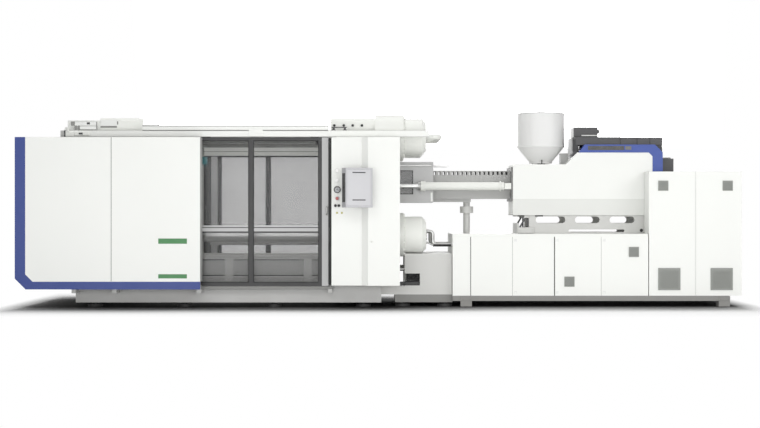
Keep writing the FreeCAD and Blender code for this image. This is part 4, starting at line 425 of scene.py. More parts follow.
# ---------------------------------------------------------------- operators: finishes
class MACHINE_OT_mix_finishes(bpy.types.Operator):
    """Makes the effect groups and every finish"""
    bl_idname = "machine.mix_finishes"
    bl_label = "Mix the finishes"

    def execute(self, context):
        tone = context.scene.machine_colours
        for make_group in (group_worn_edges, group_settled_dust, group_paint_skin, group_ground_lines,
                           group_cast_skin):
            make_group()
        paint("panel paint", tone.panel, 0.42, dust=0.10, worn=0.15)
        paint("trim paint", tone.trim, 0.38, dust=0.15, worn=0.3)
        paint("hood paint", tone.hood, 0.36, dust=0.10, worn=0.3)
        paint("bar paint", tone.mark, 0.40, dust=0.05, worn=0.0)
        paint("base paint", tone.base, 0.48, peel=0.0005, dust=0.4, dust_height=0.5, worn=0.45)
        paint("flange paint", [channel * 0.62 for channel in tone.skid], 0.4, dust=0.05, worn=0.3)
        paint("skid paint", tone.skid, 0.5, peel=0.0005, dust=0.4, dust_height=0.4, worn=0.5)
        paint("casting paint", tone.platen, 0.42, dust=0.2, worn=0.3, cast=0.0012)
        paint("light grey paint", tone.shade, 0.42, dust=0.1, worn=0.2)
        paint("pale grey paint", tone.pale, 0.42, dust=0.15, worn=0.25)
        paint("hopper paint", tone.hopper, 0.35, dust=0.03, worn=0.1)
        paint("stile paint", tone.stile, 0.40, dust=0.05, worn=0.1)
        paint("skirt shade paint", tone.skirt, 0.42, dust=0.05, worn=0.1)
        paint("door frame paint", tone.frame, 0.45, dust=0.10, dust_height=0.1, worn=0.3)
        paint("dark grey paint", tone.dark, 0.42, dust=0.25, dust_height=0.1, worn=0.35)
        paint("white enamel", (0.80, 0.81, 0.79), 0.25, dust=0.0, worn=0.0)
        bare_metal("ground bar", (0.97, 0.97, 0.96), 0.28, (60.0, 2.0, 2.0), spread=0.1)
        bare_metal("machined steel", (0.56, 0.56, 0.55), 0.28)
        bare_metal("bright screw", (0.62, 0.62, 0.60), 0.3, (20.0, 20.0, 20.0))
        bare_metal("oiled rod", (0.66, 0.66, 0.66), 0.12, (60.0, 2.0, 2.0))
        bare_metal("black bolt", (0.05, 0.05, 0.05), 0.35, (20.0, 20.0, 20.0))
        plastic("black rubber", (0.022, 0.022, 0.022), 0.6, 0.0003)
        plastic("black plastic", (0.03, 0.03, 0.032), 0.42)
        plastic("vent plastic", tone.vent, 0.5)
        plastic("screen housing", (0.54, 0.54, 0.56), 0.38)
        plastic("button white", (0.82, 0.82, 0.80), 0.2, coat=0.4)
        plastic("button red", (0.36, 0.010, 0.012), 0.25, coat=0.5)
        plastic("button yellow", (0.46, 0.43, 0.13), 0.3, coat=0.4)
        plastic("cable black", (0.02, 0.02, 0.02), 0.5)
        plastic("tube teal", (0.08, 0.27, 0.30), 0.35)
        glazing("tinted pane", tone.glass, 0.25)
        glazing("clear pane", (0.5, 0.52, 0.52), 0.10)
        glazing("dark pane", (0.13, 0.13, 0.13), 0.62)
        plastic("screen face", (0.62, 0.62, 0.64), 0.18, coat=0.6)
        return {"FINISHED"}


FINISH_OF = {
    "panel paint": ["guard_panels", "door_rails", "control_column", "carriage_cover", "base_door_1", "base_door_2",
                    "base_door_3", "base_door_4", "electric_door_left", "electric_door_right", "electric_cabinet",
                    "lock_housings", "injection_base"],
    "trim paint": ["corner_trim"],
    "hood paint": ["hood"],
    "base paint": ["clamp_base", "guard_frame", "levelling_pads"],
    "skid paint": ["skids"],
    "casting paint": ["fixed_platen", "moving_platen", "pressure_cylinders", "cylinder_caps", "injection_housing",
                      "carriage_jacks"],
    "pale grey paint": ["centre_tank", "injection_bed"],
    "light grey paint": ["barrel_shroud"],
    "stile paint": ["purge_guard"],
    "door frame paint": ["front_door_frame", "rear_door_frame"],
    "dark grey paint": ["drive_unit", "drive_rack", "hydraulic_unit"],
    "ground bar": ["tie_bars", "guide_rods"],
    "oiled rod": ["travel_rods"],
    "machined steel": ["travel_cylinders", "transfer_pipes", "water_manifold", "ejector_plate", "split_nuts_front",
                       "split_nuts_rear", "barrel", "screw", "injection_piston"],
    "hopper paint": ["hopper", "hopper_lid"],
    "black rubber": ["door_seals"],
    "black plastic": ["gauge_needle", "hopper_gate"],
    "screen housing": ["operator_panel", "pressure_gauge"],
    "button white": ["white_button_upper", "white_button_lower"],
    "button red": ["emergency_stop"],
    "button yellow": ["yellow_button_left", "yellow_button_right"],
    "tinted pane": ["front_door_glass", "rear_door_glass"],
}


def finish_region(node, finish, low, high):
    """Gives the faces of a body whose middles lie between two corners another finish."""
    mesh = NODES[node].data
    if finish not in mesh.materials:
        mesh.materials.append(bpy.data.materials[finish])
    index = mesh.materials.find(finish)
    for face in mesh.polygons:
        if all(low[axis] <= face.center[axis] <= high[axis] for axis in range(3)):
            face.material_index = index


class MACHINE_OT_finish_bodies(bpy.types.Operator):
    """Gives each main body its finish"""
    bl_idname = "machine.finish_bodies"
    bl_label = "Finish the bodies"

    def execute(self, context):
        left = set(NODES)
        for finish, names in FINISH_OF.items():
            for name in names:
                left.discard(name)
                slots = NODES[name].data.materials
                slots.clear()
                slots.append(bpy.data.materials[finish])
        if left:
            raise RuntimeError("no finish for " + ", ".join(sorted(left)))
        for node in ("base_door_3", "base_door_4", "electric_door_left", "electric_door_right"):
            low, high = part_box(node)
            finish_region(node, "vent plastic", (low.x + 0.09, low.y, low.z), (high.x, DOOR_FACE - 0.0002, high.z))
        x, y, inside = COLUMN_LOW.x, COLUMN_LOW.y, BUTTON_FACE - 0.0005
        finish_region("control_column", "black plastic", (x, y, 1.445), (x + 0.25, inside, 1.495))
        finish_region("control_column", "dark grey paint", (x + 0.28, y, 1.5), (x + 0.42, inside, 1.95))
        for node in ("front_door_frame", "rear_door_frame"):
            low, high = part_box(node)
            finish_region(node, "machined steel", (low.x, low.y, 1.32), (high.x, -1.1102, 1.48))
            finish_region(node, "machined steel", (low.x, 1.1102, 1.32), (high.x, high.y, 1.48))
        finish_region("drive_unit", "light grey paint", DRIVE_LOW, (2.80, DRIVE_HIGH.y, 2.27))
        # The clamp-side pads get black rubber as painted shade, so that they sit dark in the shade under the clamp
        # base.
        finish_region("levelling_pads", "black rubber", (-5, -1, 0), (1.1, 1, 1))
        finish_region("levelling_pads", "skid paint", (1.1, -1, 0), (6, 1, 1))
        finish_region("transfer_pipes", "casting paint", (0, -1, 2.3), (1, 1, 3))
        for y0, y1, rail0, rail1 in ((-1.450, -1.135, -0.83, -0.69), (1.135, 1.450, 0.69, 0.83)):
            # The white guard panels' end faces get grey paint: painted shade for the shade on these faces.
            finish_region("guard_panels", "light grey paint", (PANEL_END, y0, 0), (PANEL_END + 0.01, y1, 3))
            finish_region("clamp_base", "pale grey paint", (-5, rail0, 0.701), (0, rail1, 0.745))
        finish_region("injection_housing", "flange paint", (1.90, -1, 1.4), (COVER_LOW.x + 0.0005, 1, 2.2))
        finish_region("door_rails", "skid paint", (RAIL_LOW.x, RAIL_LOW.y, 0), (RAIL_HIGH.x, RAIL_HIGH.y, 0.32))
        return {"FINISHED"}


# Bare numbers below are places in metres in the machine's frame, used once where they stand.

# ---------------------------------------------------------------- operators: clamp side
class MACHINE_OT_clamp_bolts(bpy.types.Operator):
    """Adds the bolts and fittings of the clamping cylinders and platens"""
    bl_idname = "machine.clamp_bolts"
    bl_label = "Clamp bolts"

    def execute(self, context):
        size = context.scene.machine_sizes
        bolts, plugs, seams, heads = new_meshes(4)
        inner, outer = CAP_RADIUS - 0.004, CAP_RADIUS + 0.004
        for y, z in TIE_POINTS:
            bolt_circle(bolts, (PRESS_HIGH.x, y, z), ALONG, FLANGE_CIRCLE, 16, size.bolt_head, 0.018)
            add_turned(plugs, [(0, 0), (0.10, 0), (0.10, 0.012), (0.085, 0.018), (0, 0.018)],
                       (CAPS_HIGH.x - 0.012, y, z), ALONG)
            bolt_circle(plugs, (CAPS_HIGH.x, y, z), ALONG, 0.075, 6, 0.010, 0.014)
            add_turned(seams, [(inner, 0), (outer, 0.003), (outer, 0.012), (inner, 0.015)],
                       (PRESS_HIGH.x + 0.015, y, z), ALONG, 64)
        for x in (-0.699, -0.561, -0.431, -0.297):
            add_stud(heads, 0.019, (x, -PLATEN_HIGH.y, 2.640), -0.016, 20)
        make_piece("flange_bolts", bolts, "casting paint", "machine")
        make_piece("cap_plugs", plugs, "machined steel", "machine")
        make_piece("cap_welds", seams, "casting paint", "machine")
        make_piece("platen_plugs", heads, "black bolt", "machine", both=True)
        return {"FINISHED"}


def glass_windows(side):
    """The low and high corners of each pane of a door."""
    corners = [v.co for v in NODES[side + "_door_glass"].data.vertices]
    edges = sorted({round(corner.x, 4) for corner in corners})
    middle = (edges[1] + edges[2]) / 2
    panes = [p for p in corners if p.x < middle], [p for p in corners if p.x > middle]
    return [(Vector([min(p[axis] for p in pane) for axis in range(3)]),
             Vector([max(p[axis] for p in pane) for axis in range(3)])) for pane in panes]


class MACHINE_OT_door_fittings(bpy.types.Operator):
    """Adds glazing beads, cross rails, stile covers and a switch to the sliding doors"""
    bl_idname = "machine.door_fittings"
    bl_label = "Door fittings"

    def execute(self, context):
        edge = context.scene.machine_sizes.edge
        for side, sign in DOORS:
            low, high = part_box(side + "_door_frame")
            panes = glass_windows(side)
            beads, cover = new_meshes(2)
            for pane in panes:
                self.add_bead(beads, *pane, sign * GLASS_PLANE)
            make_piece(side + "_glazing_beads", beads, "black rubber", side + "_door", edge)
            if side == "front":
                self.add_front_rails(panes, edge)
            else:
                self.add_rear_rails(panes[0][0].x - 0.02, panes[1][1].x + 0.02, panes[0][1].z, edge)
            stile = high.x - 0.093
            y0, y1 = sorted((sign * DOOR_OUTSIDE, sign * (DOOR_OUTSIDE + 0.003)))
            add_plate(cover, (stile, y0, low.z + 0.002), (high.x, y1, 2.459))
            for z in (low.z + 0.06, 0.9, 1.75, 2.40):
                add_stud(cover, 0.006, (stile + 0.02, sign * 1.113, z), sign * 0.003)
            make_piece(side + "_stile_cover", cover, "stile paint", side + "_door", 0.0008)
        for side, sign in DOORS:
            self.add_closing_edge(side, sign)
        corner, switch = new_meshes(2)
        right = glass_windows("front")[1][1]
        add_plate(corner, (right.x - 0.050, -1.074, right.z - 0.058), (right.x, -1.046, right.z))
        add_stud(corner, 0.008, (right.x - 0.025, -1.046, right.z - 0.03), 0.006, 6)
        make_piece("front_corner_block", corner, "black plastic", "front_door", 0.004)
        left = glass_windows("rear")[0][0]
        add_plate(switch, (left.x - 0.165, 1.0305, 2.130), (left.x - 0.050, 1.0435, 2.248))
        add_rod(switch, 0.006, (left.x - 0.100, 1.037, 2.098), (left.x - 0.100, 1.037, 2.130), 18)
        make_piece("rear_door_switch", switch, "tube teal", "rear_door", 0.005)
        return {"FINISHED"}

    def add_closing_edge(self, side, sign):
        """Soft rubber nose on the closing edge of a door."""
        low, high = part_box(side + "_door_frame")
        foot, top, radius = low.z + 0.03, 2.445, 0.0042
        nose = bmesh.new()
        for y in (1.056, 1.072, 1.088, 1.104):
            add_rod(nose, radius, (high.x + radius, sign * y, foot), (high.x + radius, sign * y, top), 12)
        y0, y1 = sorted((sign * DOOR_INSIDE, sign * DOOR_OUTSIDE))
        add_plate(nose, (high.x, y0, foot), (high.x + 0.004, y1, top))
        make_piece(side + "_closing_edge", nose, "black rubber", side + "_door", 0.0)

    def add_bead(self, bm, low, high, plane):
        """Rubber bead round both faces of a pane."""
        wide, proud = 0.012, 0.007
        for face in (-1, 1):
            y0, y1 = sorted((plane + face * 0.004, plane + face * (0.004 + proud)))
            for x0, x1, z0, z1 in ((low.x, low.x + wide, low.z, high.z), (high.x - wide, high.x, low.z, high.z),
                                   (low.x + wide, high.x - wide, low.z, low.z + wide),
                                   (low.x + wide, high.x - wide, high.z - wide, high.z)):
                add_plate(bm, (x0, y0, z0), (x1, y1, z1))

    def add_front_rails(self, panes, edge):
        """Square rails across the front panes at waist height, with near-black plates of painted shade in the
        groove between them and under the lower one.
        """
        rails, gap = new_meshes(2)
        for low, high in panes:
            a, b = low.x + 0.0125, high.x - 0.0125
            for z0, z1 in ((1.160, 1.185), (1.098, 1.147)):
                add_plate(rails, (a, -1.104, z0), (b, -1.086, z1))
            # Near-black plates in the groove between the rails and under the lower rail are painted shade for the
            # shadow there.
            for z0, z1 in ((1.1474, 1.1596), (1.076, 1.0976)):
                add_plate(gap, (a, -1.098, z0), (b, -1.086, z1))
        make_piece("cross_rail_gap_shade", gap, "door frame paint", "front_door", 0.0)
        make_piece("front_cross_rails", rails, "stile paint", "front_door", edge)

    def add_rear_rails(self, x0, x1, top, edge):
        """Rail, strips and header on the inside of the rear door."""
        rails, strip, post, header = new_meshes(4)
        z0, z1 = 0.862, 0.950
        add_plate(rails, (x0, 1.023, z0), (x1, 1.043, z1))
        for x in (x0 + 0.008, x1 - 0.008):
            add_stud(rails, 0.006, (x, 1.023, (z0 + z1) / 2), -0.003, 12)
        make_piece("rear_cross_rails", rails, "base paint", "rear_door", edge)
        add_plate(strip, (x0 + 0.02, 1.060, 0.36), (x0 + 0.12, 1.063, 2.255))
        for z in (0.45, 0.8, 1.15, 1.5, 1.85, 2.2):
            add_stud(strip, 0.006, (x0 + 0.07, 1.060, z), -0.003)
        add_plate(strip, (x0 - 0.020, 1.040, top + 0.202), (x1 + 0.02, 1.043, top + 0.262))
        for left, right, near, far in ((0.12, 0.184, 1.050, 1.0755), (0.12, 0.184, 1.0845, 1.110),
                                       (-0.038, 0.001, 1.030, 1.043)):
            add_plate(post, (x0 + left, near, 0.356), (x0 + right, far, 2.256))
        for z0, z1 in ((0.010, 0.072), (0.078, 0.140), (0.146, 0.196)):
            add_plate(header, (x0 - 0.090, 1.040, top + z0), (x1 + 0.02, 1.044, top + z1))
        make_piece("rear_door_strip", strip, "stile paint", "rear_door", 0.0008)
        make_piece("rear_door_header", header, "panel paint", "rear_door", 0.0012)
        make_piece("rear_door_post", post, "door frame paint", "rear_door", edge)


class MACHINE_OT_guard_fittings(bpy.types.Operator):
    """Adds the plain bars, the rail fittings and the ribs of the clamp base"""
    bl_idname = "machine.guard_fittings"
    bl_label = "Guard fittings"

    def execute(self, context):
        size = context.scene.machine_sizes
        bars, cover, edge_shade, bracket = new_meshes(4)
        for z0, z1 in ((0.925, 1.000), (0.430, 0.490)):
            add_plate(bars, (-3.200, GUARD_FACE - 0.0015, z0), (-2.790, GUARD_FACE, z1))
        add_plate(cover, (-1.930, RAIL_LOW.y - 0.014, 2.474), (-1.727, RAIL_LOW.y, 2.582))
        for x in (-1.905, -1.752):
            add_stud(cover, size.screw_head, (x, RAIL_LOW.y - 0.014, 2.528), -0.003)
        # Pale grey lines along the rail's bottom edge and lip are painted shade for the shading at its folded
        # edges.
        for z in (RAIL_HIGH.z - 0.169, RAIL_HIGH.z - 0.083):
            add_pair(edge_shade, (RAIL_LOW.x, -RAIL_HIGH.y - 0.001, z), (RAIL_HIGH.x, -RAIL_HIGH.y, z + 0.007))
        for x in (-0.733, -0.571):
            add_plate(bracket, (x, -1.110, 2.560), (x + 0.057, -1.050, 2.572))
            add_plate(bracket, (x + 0.012, -1.090, 2.572), (x + 0.045, -1.070, 2.598))
        add_plate(bracket, (-0.733, -1.095, 2.598), (-0.514, -1.065, 2.611))
        make_piece("guard_bars", bars, "bar paint", "machine", 0.0005)
        make_piece("rail_joint_cover", cover, "panel paint", "machine", 0.006)
        make_piece("rail_edge_shade_lines", edge_shade, "pale grey paint", "machine", 0.0)
        make_piece("rail_end_bracket", bracket, "dark grey paint", "machine", size.edge)
        self.add_base_side(size)
        self.add_seams()
        self.add_roof_fittings()
        return {"FINISHED"}

    def add_base_side(self, size):
        """Ribs, sheets and rubber lines on the sides of the clamp base; the ribs get a paler grey as painted light
        and the sheets between them a darker grey as painted shade.
        """
        ribs, sheets, joints = new_meshes(3)
        for x0, x1 in ((-2.286, -2.169), (-1.138, -1.027)):
            add_plate(ribs, (x0, CLAMP_FACE - 0.016, 0.360), (x1, CLAMP_FACE, 0.690))
            for x, z in ((x, z) for z in (0.40, 0.65) for x in (x0 + 0.025, x1 - 0.025)):
                add_stud(ribs, size.bolt_head, (x, CLAMP_FACE - 0.016, z), -0.007, 16)
        add_plate(ribs, (-4.30, CLAMP_FACE - 0.010, 0.426), (-0.80, CLAMP_FACE, 0.448))
        for bm, spans in ((sheets, ((0.463, 0.560), (0.564, 0.676))), (joints, ((0.450, 0.462), (0.677, 0.689)))):
            for x0, x1 in ((-2.650, -2.290), (-2.165, -1.142), (-1.023, -0.800)):
                for z0, z1 in spans:
                    add_plate(bm, (x0, CLAMP_FACE - 0.002, z0), (x1, CLAMP_FACE, z1))
        # Painted light and shade: the ribs get a paler grey than the base and the thin sheets between them a
        # darker grey, for the recess's shade.
        make_piece("base_ribs", ribs, "pale grey paint", "machine", size.edge, both=True)
        make_piece("base_side_shade_sheets", sheets, "light grey paint", "machine", 0.0, both=True)
        make_piece("base_side_joints", joints, "black rubber", "machine", 0.0, both=True)

    def add_roof_fittings(self):
        """Valve covers on the bar locks and the moving platen, with dark grey posts and lines of painted shadow
        under and beside the covers, and the door drive at the rail's end.
        """
        covers, joints, caps, boxes, ends = new_meshes(5)
        lock, platen, rail = -LOCKS_HIGH.y, -MOVING_HIGH.y, RAIL_LOW.y
        # In the joints rows below, the dark grey pieces are partly posts and partly painted shadow: lines under
        # and to the right of the covers.
        for bm, face, proud, x0, x1, z0, z1 in (
                (covers, lock, 0.006, -4.466, -4.159, 2.636, 2.688),
                (covers, lock, 0.006, -4.393, -4.159, 2.580, 2.624),
                (joints, lock, 0.004, -4.526, -4.469, 2.634, 2.694),
                (joints, lock, 0.004, -4.471, -4.440, 2.560, 2.634),
                (joints, lock, 0.004, -4.421, -4.395, 2.560, 2.634),
                (joints, lock, 0.003, -4.393, -4.159, 2.562, 2.579),
                (joints, lock, 0.003, -4.158, -4.144, 2.590, 2.690),
                (caps, lock, 0.007, -4.293, -4.249, 2.650, 2.682),
                (joints, platen, 0.004, -4.108, -3.868, 2.608, 2.633),
                (covers, platen, 0.004, -4.108, -3.868, 2.634, 2.722),
                (joints, platen, 0.003, -3.867, -3.850, 2.655, 2.700),
                (boxes, rail, 0.022, -4.450, -4.238, 2.486, 2.539),
                (boxes, rail, 0.016, -4.580, -4.452, 2.470, 2.533),
                (ends, rail, 0.024, -4.387, -4.330, 2.498, 2.526),
                (ends, rail, 0.020, -4.599, -4.582, 2.468, 2.558)):
            add_plate(bm, (x0, face - proud, z0), (x1, face, z1))
        add_rod(boxes, 0.014, (-4.545, rail - 0.014, 2.534), (-4.545, rail - 0.014, 2.600), 24)
        for name, bm, finish, body, bevel, slot in (
                ("door_drive_boxes", boxes, "casting paint", "machine", 0.002, "panel_white"),
                ("door_drive_plugs", ends, "black plastic", "machine", 0.001, "plastic_black"),
                ("lock_valve_covers", covers, "white enamel", "platen", 0.002, "panel_white"),
                ("lock_valve_posts_and_shade_lines", joints, "skid paint", "platen", 0.0, "light_grey"),
                ("lock_valve_plugs", caps, "black plastic", "platen", 0.001, "plastic_black")):
            make_piece(name, bm, finish, body, bevel, both=True)

    def add_seams(self):
        """Grey lines of painted shade along the cable duct's edges, rubber strips in the seams between the guard
        panels, and a dark strip of painted shade on the rear panel's inside.
        """
        duct, strip = new_meshes(2)
        # Grey lines along the duct's lip and top edge are painted shade for the shadow lines at its edges.
        for z0, z1 in ((-0.083, -0.068), (-0.020, -0.001)):
            add_plate(duct, (-3.470, RAIL_LOW.y - 0.001, RAIL_HIGH.z + z0), (-0.782, RAIL_LOW.y, RAIL_HIGH.z + z1))
        make_piece("duct_shade_lines", duct, "light grey paint", "machine", 0.0)
        add_pair(strip, (PANEL_SEAM - 0.0038, GUARD_FACE + 0.004, 0.39),
                 (PANEL_SEAM + 0.0038, GUARD_FACE + 0.008, PANELS_HIGH.z - 0.004))
        # This dark strip on the inner face of the rear panel is painted shade, standing in for the shade on that
        # face.
        add_plate(strip, (-2.838, 1.398, 0.40), (-2.780, 1.405, 2.380))
        make_piece("panel_seam_and_shade_strips", strip, "black rubber", "machine", 0.0)


class MACHINE_OT_column_fittings(bpy.types.Operator):
    """Adds the gauge's face, the stop button's collar, the locks and the screen's front"""
    bl_idname = "machine.column_fittings"
    bl_label = "Column fittings"

    def execute(self, context):
        ring, dial, pane, collar, locks, keys = new_meshes(6)
        x, front, z = (GAUGE_LOW.x + GAUGE_HIGH.x) / 2, GAUGE_LOW.y, (GAUGE_LOW.z + GAUGE_HIGH.z) / 2
        add_turned(ring, [(0.0400, 0), (0.0490, 0), (0.0505, 0.003), (0.0505, 0.008), (0.0491, 0.010),
                          (0.0400, 0.003)], (x, front - 0.002, z), (0, 1, 0))
        for step in range(25):
            turn = math.radians(-120 + step * 10)
            mark = 0.009 if step % 4 == 0 else 0.005
            out = Vector((math.sin(turn), 0, math.cos(turn)))
            spot = Vector((x, front + 0.0116, z))
            add_rod(dial, 0.0007, spot + out * (0.041 - mark), spot + out * 0.041, 6)
        add_turned(pane, [(0, 0), (0.0446, 0), (0.0446, 0.0015), (0, 0.0015)], (x, front + 0.0005, z), (0, 1, 0))
        stop = (STOP_LOW + STOP_HIGH) / 2
        add_turned(collar, [(0.016, 0), (0.040, 0), (0.040, 0.003), (0.036, 0.005), (0.016, 0.005)],
                   (stop.x, BUTTON_FACE, stop.z), FORWARD)
        x, z = -0.149, 0.954
        add_turned(locks, [(0, 0), (0.016, 0), (0.016, 0.004), (0.012, 0.007), (0.006, 0.007), (0.006, 0.004),
                           (0, 0.004)], (x, GUARD_FACE, z), FORWARD, 28)
        add_plate(locks, (x - 0.022, GUARD_FACE - 0.004, z - 0.004), (x + 0.022, GUARD_FACE, z + 0.004))
        for x in (-0.671, -0.623):
            add_ring(keys, 0.0155, 0.009, (x, BUTTON_FACE - 0.018, 1.470), (x, BUTTON_FACE - 0.0205, 1.470), 28)
            add_plate(keys, (x - 0.0018, BUTTON_FACE - 0.034, 1.461), (x + 0.0018, BUTTON_FACE - 0.018, 1.479))
        make_piece("gauge_ring", ring, "black bolt", "machine", 0.0)
        make_piece("gauge_marks", dial, "black plastic", "machine", 0.0)
        make_piece("gauge_pane", pane, "clear pane", "machine", 0.0)
        make_piece("stop_collar", collar, "white enamel", "machine", 0.0)
        make_piece("column_locks", locks, "casting paint", "machine", 0.0005, both=True)
        make_piece("key_switch_keys", keys, "black bolt", "machine", 0.0004)
        self.add_screen()
        return {"FINISHED"}

    def add_screen(self):
        """Front of the screen housing: a glossy face, two dark grips and side vents."""
        hinge = next(j for j in frame["joints"] if j["name"] == "screen_turn")
        pivot = Matrix.Translation((hinge["pos_m"][0], hinge["pos_m"][1], 0))
        turn = pivot @ Matrix.Rotation(math.radians(SCREEN_TILT), 4, "Z")
        low, high = SCREEN_LOW.z, SCREEN_HIGH.z
        left, right, front = -0.2065, 0.1965, -0.212
        face, gasket, grips = new_meshes(3)
        add_plate(face, (left + 0.025, front + 0.002, low + 0.025), (right - 0.025, front + 0.006, high - 0.025))
        add_plate(gasket, (left + 0.017, front + 0.004, low + 0.017),
                  (right - 0.017, front + 0.0064, high - 0.017))
        add_plate(gasket, (left - 0.001, -0.185, low + 0.075), (left, -0.060, high - 0.075))
        for z in (high - 0.066, low + 0.106):
            add_plate(grips, (-0.105, front - 0.002, z - 0.007), (0.090, front + 0.002, z + 0.007))
        for z in (low + 0.10, low + 0.28, high - 0.10):
            add_rod(grips, 0.008, (left, -0.10, z), (left - 0.006, -0.10, z), 18)
        for z in (low + 0.20 + step * 0.018 for step in range(9)):
            add_plate(grips, (right - 0.0005, -0.17, z), (right + 0.0008, -0.09, z + 0.006))
        for name, bm, finish, bevel, slot in (
                ("screen_face", face, "screen face", 0.0012, "plastic_white"),
                ("screen_gasket", gasket, "dark grey paint", 0.0, "plastic_black"),
                ("screen_grips", grips, "black plastic", 0.0006, "plastic_black")):
            bmesh.ops.transform(bm, matrix=turn, verts=bm.verts)
            make_piece(name, bm, finish, "screen", bevel)


# ---------------------------------------------------------------- operators: injection side
class MACHINE_OT_tank_fittings(bpy.types.Operator):
    """Adds the connectors in the tank's recess, its shelf and the conduits to the base"""
    bl_idname = "machine.tank_fittings"
    bl_label = "Tank fittings"

    def execute(self, context):
        plugs, shelf = new_meshes(2)
        for x in (TANK_FACE + 0.035 + 0.066 * step for step in range(3)):
            add_plate(plugs, (x - 0.006, -0.680, 0.364), (x + 0.058, -0.600, 0.474))
            add_turned(plugs, [(0, 0), (0.024, 0), (0.024, 0.012), (0.019, 0.018), (0.019, 0.03), (0, 0.03)],
                       (x + 0.026, -0.680, 0.419), FORWARD, 24)
        add_plate(shelf, (TANK_FACE + 0.004, -0.790, 0.302), (TANK_FACE + 0.220, -0.600, 0.356))
        add_plate(shelf, (TANK_FACE - 0.072, -0.790, 0.302), (TANK_FACE, -0.690, 0.356))
        for x in (TANK_FACE + 0.03, TANK_FACE + 0.19):
            add_rod(shelf, 0.009, (x, -0.76, 0.356), (x, -0.76, 0.362), 6)
        make_piece("tank_connectors", plugs, "black rubber", "machine", 0.003)
        make_piece("tank_shelf", shelf, "door frame paint", "machine", 0.003)
        for side, sign in DOORS:
            self.add_conduit(side + "_conduit", sign * 0.82)
        return {"FINISHED"}

    def add_conduit(self, name, y):
        """Ribbed conduit clamped to a cap at one end and to the base at the other."""
        start, end, z, count = 0.745, BASE_LOW.x - 0.018, 0.891, 15
        step = (end - start) / count
        ribs, ends = new_meshes(2)
        profile = [(0.008, 0)]
        for along in (index * step for index in range(count)):
            profile += [(0.014, along), (0.020, along + step * 0.25), (0.020, along + step * 0.6),
                        (0.014, along + step * 0.85)]
        add_turned(ribs, profile + [(0.008, count * step)], (start, y, z), ALONG, 24)
        make_piece(name, ribs, "cable black", "machine", 0.0)
        cap = (CAPS_HIGH.x, y * 0.976, 0.932)
        add_turned(ends, [(0, 0), (0.026, 0), (0.026, 0.018), (0, 0.018)], (end, y, z), ALONG, 6)
        add_rod(ends, 0.010, (cap[0] + 0.012, *cap[1:]), (start + 0.003, y, z), 20)
        add_turned(ends, [(0, 0), (0.020, 0), (0.020, 0.016), (0, 0.016)], cap, ALONG, 6)
        make_piece(name + "_ends", ends, "machined steel", "machine", 0.001)


class MACHINE_OT_purge_fittings(bpy.types.Operator):
    """Adds the panes and pull tabs of the purge guard and the glands of the jacks"""
    bl_idname = "machine.purge_fittings"
    bl_label = "Purge guard fittings"

    def execute(self, context):
        panes, frames, tabs, glands, bands = new_meshes(5)
        add_plate(panes, (0.090, -0.316, 1.642), (0.464, -0.312, 2.002))
        for x0, x1, z0, z1 in ((0.092, 0.102, 1.644, 2.000), (0.452, 0.462, 1.644, 2.000),
                               (0.102, 0.452, 1.644, 1.654), (0.102, 0.452, 1.990, 2.000)):
            add_plate(frames, (x0, PURGE_FACE - 0.0025, z0), (x1, PURGE_FACE, z1))
        add_plate(tabs, (0.723, PURGE_FACE - 0.0038, 1.537), (0.751, PURGE_FACE, 1.671))
        low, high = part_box("carriage_jacks")
        y, z = 0.075 - high.y, (low.z + high.z) / 2
        add_turned(glands, [(0.0465, 0), (0.062, 0), (0.062, 0.030), (0.058, 0.036), (0.0465, 0.036)],
                   (low.x - 0.036, y, z), ALONG)
        bolt_circle(glands, (low.x, y, z), (-1, 0, 0), 0.068, 8, 0.006, 0.008)
        for x in (low.x + 0.05, high.x - 0.16):
            add_ring(bands, 0.0765, 0.074, (x, y, z), (x + 0.022, y, z))
        for name, bm, finish, body, bevel, slot in (
                ("purge_panes", panes, "dark pane", "purge", 0.001, "tinted_glass"),
                ("purge_pane_frames", frames, "black rubber", "purge", 0.001, "rubber_black"),
                ("purge_pull_tabs", tabs, "white enamel", "purge", 0.0015, "plastic_white"),
                ("jack_glands", glands, "machined steel", "carriage", 0.0, "steel"),
                ("jack_bands", bands, "casting paint", "carriage", 0.001, "light_grey")):
            make_piece(name, bm, finish, body, bevel, both=True)
        return {"FINISHED"}


